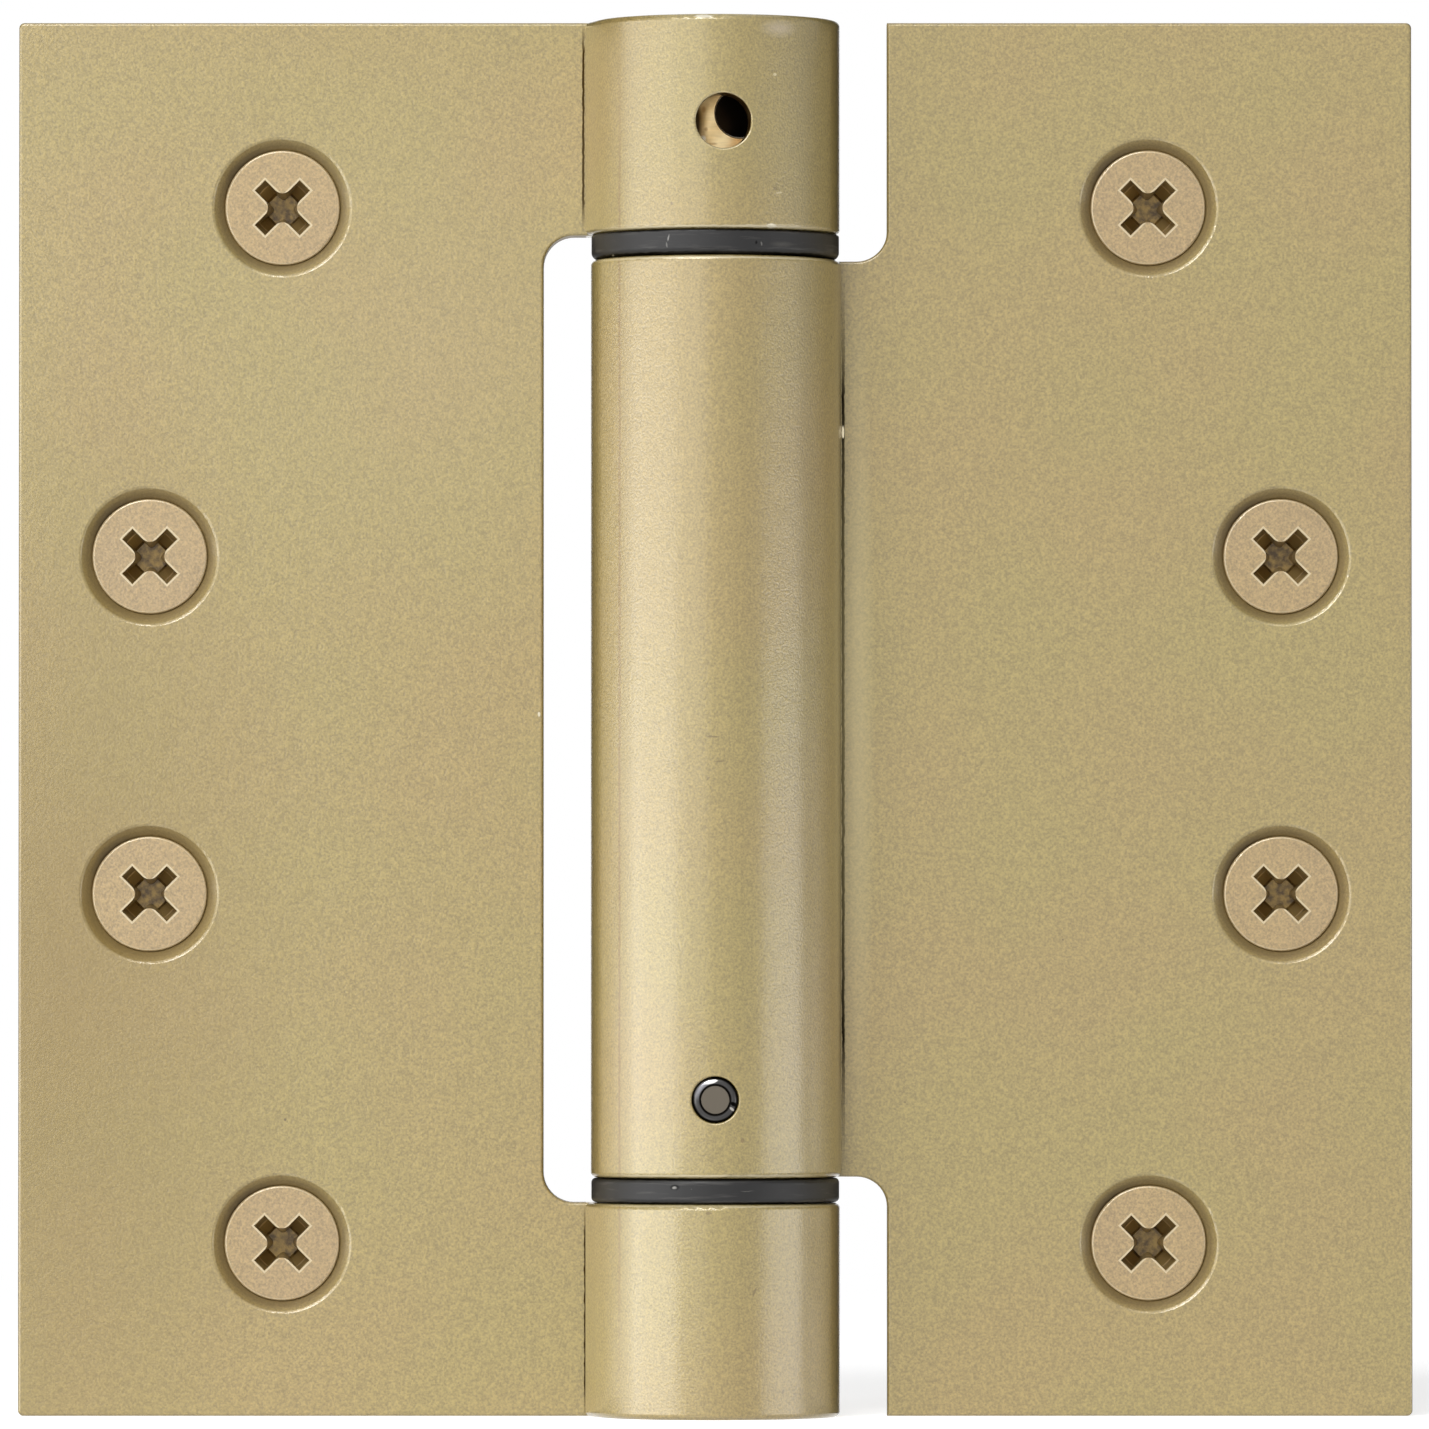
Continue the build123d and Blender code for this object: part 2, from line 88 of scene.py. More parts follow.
def linear(code: str) -> tuple[float, float, float, float]:
    """Turn an sRGB colour to linear light.

    Args:
        code: the colour as a hash and six hex digits.

    Returns:
        Red, green, blue and an alpha of 1, in linear light.
    """
    shares = [int(code[start : start + 2], 16) / 255 for start in (1, 3, 5)]
    red, green, blue = (x / 12.92 if x <= 0.04045 else ((x + 0.055) / 1.055) ** 2.4 for x in shares)
    return red, green, blue, 1.0


def feed(tree: Tree, node: Node, inputs: dict | tuple) -> None:
    """Give a node's inputs their values and links.

    Args:
        tree: the node's tree.
        node: the node.
        inputs: what each input gets, in their order or by name or number: a value, an output, or a node,
            whose first output is meant.
    """
    for key, value in inputs.items() if isinstance(inputs, dict) else enumerate(inputs):
        source = value.outputs[0] if isinstance(value, Node) else value
        if isinstance(source, Socket):
            tree.links.new(source, node.inputs[key])
        else:
            node.inputs[key].default_value = source


def add_node(tree: Tree, kind: str, inputs: dict | tuple = (), **settings: Any) -> Node:
    """Add a node to a tree with its settings, its input values and its links.

    Args:
        tree: the node tree.
        kind: the node's type name.
        inputs: what each input gets, as feed takes it.
        settings: the node's own properties.

    Returns:
        The new node.
    """
    node = tree.nodes.new(kind)
    for name, value in settings.items():
        setattr(node, name, value)
    feed(tree, node, inputs)
    return node


def new_material(name: str) -> Material:
    """Make a material whose node tree is empty.

    Args:
        name: its name.

    Returns:
        The material.
    """
    made = bpy.data.materials.new(name)
    made.use_nodes = True
    made.node_tree.nodes.clear()
    return made


@dataclass(frozen=True)
class ScrewPlaces:
    """Where the screws' axes stand, mirrored in both leaves and about their middle height, in millimetres."""

    middle: float = 56.65
    axes: tuple[tuple[float, float], ...] = ((35.55, 42.5), (46.43, 13.85))

    def offsets(self, tree: Tree, in_mm: Source) -> list[tuple[Node, Node]]:
        """Measure from each axis of one quarter, with the other quarters folded on it.

        Args:
            tree: the material's tree.
            in_mm: coordinates in millimetres.

        Returns:
            The distances across and up from each axis.
        """
        x, _, z = add_node(tree, SPLIT, (in_mm,)).outputs
        above = add_node(tree, MATH, (z, self.middle), operation="SUBTRACT")
        across, high = (add_node(tree, MATH, (way,), operation="ABSOLUTE") for way in (x, above))
        return [
            tuple(add_node(tree, MATH, pair, operation="SUBTRACT") for pair in ((across, u), (high, v)))
            for u, v in self.axes
        ]

    def radius(self, tree: Tree, in_mm: Source) -> Node:
        """Measure how far the nearest screw's axis is.

        Args:
            tree: the material's tree.
            in_mm: coordinates in millimetres.

        Returns:
            The distance, in millimetres.
        """
        distances = []
        for u, v in self.offsets(tree, in_mm):
            square = add_node(tree, MATH, (v, v), operation="MULTIPLY")
            total = add_node(tree, MATH, (u, u, square), operation="MULTIPLY_ADD")
            distances.append(add_node(tree, MATH, (total,), operation="SQRT"))
        return add_node(tree, MATH, tuple(distances), operation="MINIMUM")

    def from_cross(self, tree: Tree, in_mm: Source, reach: float, half_wing: float) -> Node:
        """Measure how far outside the nearest cross recess's outline a point is.

        Args:
            tree: the material's tree.
            in_mm: coordinates in millimetres.
            reach: how far the wings reach from the axis.
            half_wing: half a wing's width.

        Returns:
            The distance, below 0 inside the outline.
        """
        distances = []
        for u, v in self.offsets(tree, in_mm):
            turned = []
            for way in ("ADD", "SUBTRACT"):
                slanting = add_node(tree, MATH, (u, v), operation=way)
                scaled = add_node(tree, MATH, (slanting, cos(radians(45))), operation="MULTIPLY")
                turned.append(add_node(tree, MATH, (scaled,), operation="ABSOLUTE"))
            for long, wide in (turned, reversed(turned)):
                past_tip = add_node(tree, MATH, (long, reach), operation="SUBTRACT")
                past_side = add_node(tree, MATH, (wide, half_wing), operation="SUBTRACT")
                distances.append(add_node(tree, MATH, (past_tip, past_side), operation="MAXIMUM"))
        nearest = distances[0]
        for distance in distances[1:]:
            nearest = add_node(tree, MATH, (nearest, distance), operation="MINIMUM")
        return nearest


@dataclass(frozen=True)
class Mark:
    """A line, a flaw, a tinted spot, or painted light or shade at one place of a piece. Millimetres, and
    degrees about X, Y and Z.

    A deep mark is a pit, a dark wall or painted deep shade in a gap or crease, and shows no sheen.
    """

    at: tuple[float, float, float]
    half: tuple[float, float, float]
    colour: str
    strength: float = 1.0
    square: bool = False
    softness: float = 0.3
    turn: tuple[float, float, float] = (0.0, 0.0, 0.0)
    deep: bool = False

    def mask(self, tree: Tree, in_mm: Source) -> Node:
        """Tell where the mark is.

        Args:
            tree: the material's tree.
            in_mm: coordinates in millimetres.

        Returns:
            A share that rises from 0 at the mark's edge to its strength inside.
        """
        turned = tuple(radians(angle) for angle in self.turn)
        inputs = {"Vector": in_mm, "Location": self.at, "Rotation": turned, "Scale": self.half}
        local = add_node(tree, "ShaderNodeMapping", inputs, vector_type="TEXTURE")
        if self.square:
            sizes = add_node(tree, VECTOR_MATH, (local,), operation="ABSOLUTE")
            across, deep, high = add_node(tree, SPLIT, (sizes,)).outputs
            level = add_node(tree, MATH, (across, deep), operation="MAXIMUM")
            reach = add_node(tree, MATH, (level, high), operation="MAXIMUM")
        else:
            reach = add_node(tree, VECTOR_MATH, (local,), operation="LENGTH").outputs["Value"]
        return add_node(tree, MAP_RANGE, (reach, 1.0, 1 - self.softness, 0.0, self.strength))


def noise(in_mm: Source, size: float, detail: float = 2.0) -> dict[str, Any]:
    """Work out a noise's inputs for a soft random pattern of a real size.

    Args:
        in_mm: coordinates in millimetres.
        size: how far apart its lights and darks are, in millimetres, which is half a cell of the noise.
        detail: how much finer detail it has.

    Returns:
        The value of each input by name.
    """
    return {"Vector": in_mm, "Scale": 0.5 / size, "Detail": detail, "Roughness": 0.55}


def lay(tree: Tree, colour: Any, *layers: tuple[Any, Any]) -> Any:
    """Lay tints over a colour, in their order.

    Args:
        tree: the material's tree.
        colour: the colour under them.
        layers: for each tint, the share of it that shows and its colour.

    Returns:
        The blended colour's output.
    """
    for share, tint in layers:
        inputs = {0: share, 6: colour, 7: tint}
        colour = add_node(tree, "ShaderNodeMix", inputs, data_type="RGBA").outputs[2]
    return colour


def lighten(tree: Tree, colour: Any, lightness: Node) -> Socket:
    """Scale a colour's lightness from place to place.

    Args:
        tree: the material's tree.
        colour: the colour.
        lightness: its scale, with 1 for the colour as it is.

    Returns:
        The scaled colour's output.
    """
    inputs = {0: 1.0, 6: colour, 7: lightness}
    return add_node(tree, "ShaderNodeMix", inputs, data_type="RGBA", blend_type="MULTIPLY").outputs[2]


@dataclass(frozen=True)
class Finish:
    """A finish that is built as one material: its name, its colour, how it takes light, and its marks.

    The marks' edges are uneven by up to the unevenness, in millimetres.
    """

    name: str
    colour: str
    roughness: float
    metallic: float = 0.0
    marks: tuple[Mark, ...] = ()
    unevenness: float = 0.1
    edge_scale: float = 1.3
    dull_roughness: float = 0.8
    speck_sharpness: float = 2.5
    speck_spacing: float = 3.2
    speck_radius: float = 0.16
    speck_share: float = 0.4

    def material(self) -> Material:
        """Build the material.

        Returns:
            The new material, with its whole node tree.
        """
        made = new_material(self.name)
        tree = made.node_tree
        look = {"Base Color": linear(self.colour), "Roughness": self.roughness, "Metallic": self.metallic}
        shader = add_node(tree, "ShaderNodeBsdfPrincipled", look)
        add_node(tree, "ShaderNodeOutputMaterial", {"Surface": shader})
        places = add_node(tree, "ShaderNodeTexCoord").outputs["Object"]
        in_mm = add_node(tree, "ShaderNodeMapping", {"Vector": places, "Scale": (1 / MM,) * 3})
        self.dress(tree, shader, in_mm)
        return made

    def dress(self, tree: Tree, shader: Node, in_mm: Source) -> None:
        """Add the finish's own pattern; a plain finish has none.

        Args:
            tree: the material's tree.
            shader: its surface shader.
            in_mm: the surface's own coordinates in millimetres.
        """

    def specks(self, tree: Tree, in_mm: Source) -> Node:
        """Scatter specks up to their radius on a share of the places that lie their spacing apart.

        Args:
            tree: the material's tree.
            in_mm: coordinates in millimetres.

        Returns:
            A share that is 1 on a speck and 0 elsewhere.
        """
        cells = add_node(tree, "ShaderNodeTexVoronoi", {"Vector": in_mm, "Scale": 1 / self.speck_spacing})
        chance = add_node(tree, "ShaderNodeSeparateColor", (cells.outputs["Color"],))
        size = self.speck_radius / self.speck_spacing
        reach = add_node(tree, MAP_RANGE, (chance, 1 - self.speck_share, 1.0, 0.0, size))
        inside = add_node(tree, MATH, (reach, cells.outputs["Distance"]), operation="SUBTRACT")
        sharp = (inside, self.speck_sharpness / size)
        return add_node(tree, MATH, sharp, operation="MULTIPLY", use_clamp=True)

    def add_marks(
        self, tree: Tree, shader: Node, in_mm: Source, colour: Any, bare: Any = 0.0, dull: Any = 0.0
    ) -> None:
        """Lay the marks over the colour, in their order, and give the shader the result.

        Args:
            tree: the material's tree.
            shader: its surface shader.
            in_mm: coordinates in millimetres.
            colour: the finish's colour so far.
            bare: where the surface is bare metal without a sheen, and where deep marks paint deep shade, from
                0 to 1.
            dull: where the film is thin and rough, from 0 to 1.
        """
        if self.marks:
            ripple = {"Vector": in_mm, "Scale": self.edge_scale, "Detail": 2.0}
            shift = add_node(tree, NOISE, ripple).outputs["Color"]
            centred = add_node(tree, VECTOR_MATH, (shift, (0.5,) * 3), operation="SUBTRACT")
            moved = (centred, (2 * self.unevenness,) * 3, in_mm)
            in_mm = add_node(tree, VECTOR_MATH, moved, operation="MULTIPLY_ADD")
        for mark in self.marks:
            share = mark.mask(tree, in_mm)
            colour = lay(tree, colour, (share, linear(mark.colour)))
            if mark.deep:
                bare = add_node(tree, MATH, (bare, share), operation="MAXIMUM")
        feed(tree, shader, {"Base Color": colour})
        if isinstance(bare, Node):
            metal = (bare, 1 - self.metallic, self.metallic)
            feed(tree, shader, {"Metallic": add_node(tree, MATH, metal, operation="MULTIPLY_ADD")})
        if isinstance(dull, Node):
            rough = (dull, self.dull_roughness - self.roughness, self.roughness)
            feed(tree, shader, {"Roughness": add_node(tree, MATH, rough, operation="MULTIPLY_ADD")})
        coat = shader.inputs["Coat Weight"].default_value
        if coat > 0 and (isinstance(bare, Node) or isinstance(dull, Node)):
            without = add_node(tree, MATH, (bare, dull), operation="MAXIMUM")
            left = add_node(tree, MATH, (without, -coat, coat), operation="MULTIPLY_ADD")
            feed(tree, shader, {"Coat Weight": left})

    def bump(self, tree: Tree, shader: Node, height: Node, depth: float) -> None:
        """Give the surface a fine relief.

        Args:
            tree: the material's tree.
            shader: its surface shader.
            height: the relief, from 0 to 1.
            depth: how deep it is, in millimetres.
        """
        relief = add_node(tree, "ShaderNodeBump", {"Height": height, "Strength": 1.0, "Distance": depth * MM})
        feed(tree, shader, {"Normal": relief})
        if shader.inputs["Coat Weight"].default_value > 0:
            feed(tree, shader, {"Coat Normal": relief})


@dataclass(frozen=True)
class BrassEnamel(Finish):
    """Metallic enamel in a brass colour, sprayed on steel and left satin.

    Fine flakes in a clear binder give a broad, soft, slightly grainy glow under a paler sheen, with a faint
    orange peel, cloudy patches and some specks of dust and grit caught in the film. The real flakes are finer
    than a pixel, so the grain is drawn as coarse as it needs to show.
    """

    cloud: str = "#AE945C"
    cloud_size: float = 7.0
    cloud_detail: float = 0.3
    cloud_range: tuple[float, float] = (0.35, 0.65)
    cloud_strength: float = 0.5
    grain_size: float = 0.09
    grain_detail: float = 1.5
    grain_range: tuple[float, float] = (0.25, 0.75)
    grain_depth: float = 0.02
    grain_contrast: float = 0.31
    peel_size: float = 0.9
    peel_share: float = 0.8
    speck: str = "#6B5A34"
    ior: float = 1.8
    coat: float = 1.0
    coat_roughness: float = 0.15
    coat_ior: float = 1.5
    shade: str = "#6C5628"
    shade_depths: tuple[float, float] = (0.8, 1.4)
    shade_strength: float = 0.0
    back_depth: float = 4.1
    barrel_reach: float = 10.6

    def dress(self, tree: Tree, shader: Node, in_mm: Source) -> None:
        """Add the enamel's clouds, grain, specks, sheen and relief.

        Args:
            tree: the material's tree.
            shader: its surface shader.
            in_mm: the surface's own coordinates in millimetres.
        """
        sheen = {"Coat Weight": self.coat, "Coat Roughness": self.coat_roughness, "Coat IOR": self.coat_ior}
        feed(tree, shader, {"IOR": self.ior, **sheen})
        clouds = add_node(tree, NOISE, noise(in_mm, self.cloud_size, self.cloud_detail))
        cloudy = add_node(tree, MAP_RANGE, (clouds, *self.cloud_range))
        patchy = add_node(tree, MATH, (cloudy, self.cloud_strength), operation="MULTIPLY")
        colour = lay(tree, linear(self.colour), (patchy, linear(self.cloud)))
        grain = add_node(tree, NOISE, noise(in_mm, self.grain_size, self.grain_detail))
        contrast = (1 - self.grain_contrast, 1 + self.grain_contrast)
        lightness = add_node(tree, MAP_RANGE, (grain, *self.grain_range, *contrast))
        colour = lighten(tree, colour, lightness)
        specks = self.specks(tree, in_mm)
        colour = lay(tree, colour, (specks, linear(self.speck)))
        colour, bare, dull = self.tint_depths(tree, in_mm, colour)
        self.add_marks(tree, shader, in_mm, colour, bare, dull)
        peel = add_node(tree, NOISE, noise(in_mm, self.peel_size, 0.0))
        relief = add_node(tree, MATH, (peel, self.peel_share, grain), operation="MULTIPLY_ADD")
        self.bump(tree, shader, relief, self.grain_depth)

    def tint_depths(self, tree: Tree, in_mm: Source, colour: Socket) -> tuple[Socket, Any, Any]:
        """Paint shade on the cut faces and countersinks, darker with the depth below the leaf's front, and
        dull their thin film.

        Args:
            tree: the material's tree.
            in_mm: coordinates in millimetres.
            colour: the enamel's colour so far.

        Returns:
            The colour with the painted shade, where the surface is bare and where it is dull.
        """
        if self.shade_strength <= 0:
            return colour, 0.0, 0.0
        across, depth, _ = add_node(tree, SPLIT, (in_mm,)).outputs
        sunk = add_node(tree, MAP_RANGE, (depth, *self.shade_depths, 0.0, self.shade_strength))
        above_back = add_node(tree, MATH, (depth, self.back_depth), operation="LESS_THAN")
        sideways = add_node(tree, MATH, (across,), operation="ABSOLUTE")
        beside = add_node(tree, MATH, (sideways, self.barrel_reach), operation="GREATER_THAN")
        cut = add_node(tree, MATH, (sunk, above_back), operation="MULTIPLY")
        share = add_node(tree, MATH, (cut, beside), operation="MULTIPLY")
        return lay(tree, colour, (share, linear(self.shade))), 0.0, share


@dataclass(frozen=True)
class ScrewEnamel(BrassEnamel):
    """The same enamel on the screws, with painted highlights on the edges, and thin in the cross recess,
    which is brown.

    The radii and widths are measured from the screw's axis or the recess's outline, and the depths from the
    leaf's front, all in millimetres.
    """

    # The colour of the painted highlights on the head's edges and the recess's rim.
    rim: str = "#EAD9B0"
    wall: str = "#A8905C"
    floor: str = "#9A7E40"
    stain: str = "#503C1A"
    ledge: str = "#D8C090"
    bareness: float = 0.6
    places: ScrewPlaces = ScrewPlaces()
    recess_radius: float = 2.75
    wing_reach: float = 2.625
    half_wing: float = 0.61
    rim_width: float = 0.15
    rim_strength: float = 0.75
    edge_radius: float = 4.54
    edge_strength: float = 0.45
    face_depth: float = 1.64
    rib_spacing: float = 0.24
    rib_shadow: float = 0.45
    stain_size: float = 0.25
    stain_range: tuple[float, float] = (0.35, 0.65)
    rim_depths: tuple[float, float] = (1.58, 1.72)
    wall_depths: tuple[float, float] = (1.78, 4.95)
    ledge_depths: tuple[float, float] = (2.95, 3.2)
    floor_depths: tuple[float, float] = (4.35, 4.95)

    def tint_depths(self, tree: Tree, in_mm: Source, colour: Socket) -> tuple[Socket, Any, Any]:
        """Paint highlights on the head's edges and the recess's rim, and colour the recess, by the depth
        below the leaf's front.

        Args:
            tree: the material's tree.
            in_mm: coordinates in millimetres.
            colour: the enamel's colour so far.

        Returns:
            The colour with the painted highlights and the recess in it, where the surface is bare and where
            it is dull.
        """
        depth = add_node(tree, SPLIT, (in_mm,)).outputs["Y"]
        radius = self.places.radius(tree, in_mm)
        outside = self.places.from_cross(tree, in_mm, self.wing_reach, self.half_wing)
        on_face = add_node(tree, MATH, (depth, self.face_depth), operation="LESS_THAN")
        near_cross = add_node(tree, MATH, (outside, self.rim_width), operation="LESS_THAN")
        near_edge = add_node(tree, MATH, (radius, self.edge_radius), operation="GREATER_THAN")
        # Painted highlights along the cross recess's outline and the head's edge.
        for place, strength in ((near_cross, self.rim_strength), (near_edge, self.edge_strength)):
            highlighted = add_node(tree, MATH, (on_face, place), operation="MULTIPLY")
            share = add_node(tree, MATH, (highlighted, strength), operation="MULTIPLY")
            colour = lay(tree, colour, (share, linear(self.rim)))
        in_recess = add_node(tree, MATH, (radius, self.recess_radius), operation="LESS_THAN")
        angle = add_node(tree, MATH, (radius, radians(360) / self.rib_spacing), operation="MULTIPLY")
        wave = add_node(tree, MATH, (angle,), operation="SINE")
        ribs = add_node(tree, MAP_RANGE, (wave, -1.0, 1.0, self.rib_shadow))
        patches = add_node(tree, NOISE, noise(in_mm, self.stain_size, 3.0))
        stained = add_node(tree, MAP_RANGE, (patches, *self.stain_range))
        # The recess: a painted highlight on its upper rim, its wall, its ledge with painted shade between the
        # ribs, and its stained floor.
        for tint, depths in (
            (linear(self.rim), self.rim_depths),
            (linear(self.wall), self.wall_depths),
            (lighten(tree, linear(self.ledge), ribs), self.ledge_depths),
            (lay(tree, linear(self.floor), (stained, linear(self.stain))), self.floor_depths),
        ):
            between = self.between(tree, depth, depths)
            share = add_node(tree, MATH, (between, in_recess), operation="MULTIPLY")
            colour = lay(tree, colour, (share, tint))
        between = self.between(tree, depth, self.wall_depths)
        inside = add_node(tree, MATH, (between, in_recess), operation="MULTIPLY")
        bare = add_node(tree, MATH, (inside, self.bareness), operation="MULTIPLY")
        return colour, bare, 0.0

    def between(self, tree: Tree, depth: Socket, depths: tuple[float, float]) -> Node:
        """Tell whether a depth lies between two others.

        Args:
            tree: the material's tree.
            depth: the depth in millimetres.
            depths: the two depths.

        Returns:
            A share that is 1 between them and 0 elsewhere.
        """
        below = add_node(tree, MATH, (depth, depths[0]), operation="GREATER_THAN")
        above = add_node(tree, MATH, (depth, depths[1]), operation="LESS_THAN")
        return add_node(tree, MATH, (below, above), operation="MULTIPLY")


@dataclass(frozen=True)
class MouldedPlastic(Finish):
    """Black acetal, moulded and tumbled: a low satin sheen with fine scuffs that run round the ring."""

    scuff: str = "#6A6764"
    scuff_size: float = 0.5
    scuff_stretch: tuple[float, float, float] = (0.25, 0.25, 3.0)
    scuff_range: tuple[float, float] = (0.56, 0.75)
    scuff_strength: float = 0.4
    scuff_relief: float = 0.6
    speck_spacing: float = 2.4
    speck_radius: float = 0.12
    speck_share: float = 0.3
    grain_size: float = 0.15
    grain_depth: float = 0.006

    def dress(self, tree: Tree, shader: Node, in_mm: Source) -> None:
        """Add the moulding's grain and the scuffs round the ring.

        Args:
            tree: the material's tree.
            shader: its surface shader.
            in_mm: the surface's own coordinates in millimetres.
        """
        along = add_node(tree, "ShaderNodeMapping", {"Vector": in_mm, "Scale": self.scuff_stretch})
        scuffs = add_node(tree, NOISE, noise(along, self.scuff_size, 3.0))
        marked = add_node(tree, MAP_RANGE, (scuffs, *self.scuff_range))
        faint = add_node(tree, MATH, (marked, self.scuff_strength), operation="MULTIPLY")
        specks = self.specks(tree, in_mm)
        shown = add_node(tree, MATH, (faint, specks), operation="MAXIMUM")
        self.add_marks(tree, shader, in_mm, lay(tree, linear(self.colour), (shown, linear(self.scuff))))
        grain = add_node(tree, NOISE, noise(in_mm, self.grain_size))
        relief = add_node(tree, MATH, (scuffs, self.scuff_relief, grain), operation="MULTIPLY_ADD")
        self.bump(tree, shader, relief, self.grain_depth)


@dataclass(frozen=True)
class TurnedMetal(Finish):
    """Metal turned on a lathe: bright, with the tool's fine rings, and toned by plating or handling."""

    tone: str = "#6F675C"
    tone_size: float = 1.6
    tone_range: tuple[float, float] = (0.4, 0.65)
    ring_spacing: float = 0.12
    ring_contrast: float = 0.25
    ring_depth: float = 0.004
    stretch: tuple[float, float, float] = (0.15, 0.15, 1.0)

    def dress(self, tree: Tree, shader: Node, in_mm: Source) -> None:
        """Add the turning rings and the uneven tone.

        Args:
            tree: the material's tree.
            shader: its surface shader.
            in_mm: the surface's own coordinates in millimetres.
        """
        along = add_node(tree, "ShaderNodeMapping", {"Vector": in_mm, "Scale": self.stretch})
        rings = add_node(tree, NOISE, noise(along, self.ring_spacing))
        tones = add_node(tree, NOISE, noise(in_mm, self.tone_size, 3.0))
        toned = add_node(tree, MAP_RANGE, (tones, *self.tone_range))
        colour = lay(tree, linear(self.colour), (toned, linear(self.tone)))
        contrast = (1 - self.ring_contrast, 1 + self.ring_contrast)
        lightness = add_node(tree, MAP_RANGE, (rings, 0.0, 1.0, *contrast))
        self.add_marks(tree, shader, in_mm, lighten(tree, colour, lightness))
        self.bump(tree, shader, rings, self.ring_depth)


def dress_nodes(finish: Finish, *nodes: str) -> Material:
    """Give CAD nodes one finish.

    Args:
        finish: the finish, which becomes one material.
        nodes: the nodes' names.

    Returns:
        The material.
    """
    material = finish.material()
    for node in nodes:
        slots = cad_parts[node].data.materials
        for index in range(len(slots)):
            slots[index] = material
        LOG.info("dressed %s with %s", node, material.name)
    return material


@dataclass
class Leaves:
    """The two rolled leaves."""

    finish: BrassEnamel
    nodes: tuple[str, ...] = ("frame_leaf", "barrel_leaf")

    def dress(self) -> None:
        """Give both leaves their enamel."""
        dress_nodes(self.finish, *self.nodes)


@dataclass
class BearingRings:
    """The two plastic rings between the knuckles."""

    finish: MouldedPlastic
    nodes: tuple[str, ...] = ("upper_bearing_ring", "lower_bearing_ring")

    def dress(self) -> None:
        """Give both rings their plastic."""
        dress_nodes(self.finish, *self.nodes)


@dataclass
class Mechanism:
    """What works inside the barrel: spindle, spring, hub, pin, bushes and caps."""

    spindle: TurnedMetal
    hub: TurnedMetal
    spring: TurnedMetal
    pin: TurnedMetal
    bush: TurnedMetal
    cap: BrassEnamel

    def dress(self) -> None:
        """Give each piece its finish."""
        dress_nodes(self.spindle, "tension_spindle")
        dress_nodes(self.hub, "spring_hub")
        dress_nodes(self.spring, "torsion_spring")
        dress_nodes(self.pin, "hub_pin")
        dress_nodes(self.bush, "upper_bush", "lower_bush")
        dress_nodes(self.cap, "top_cap", "bottom_cap")


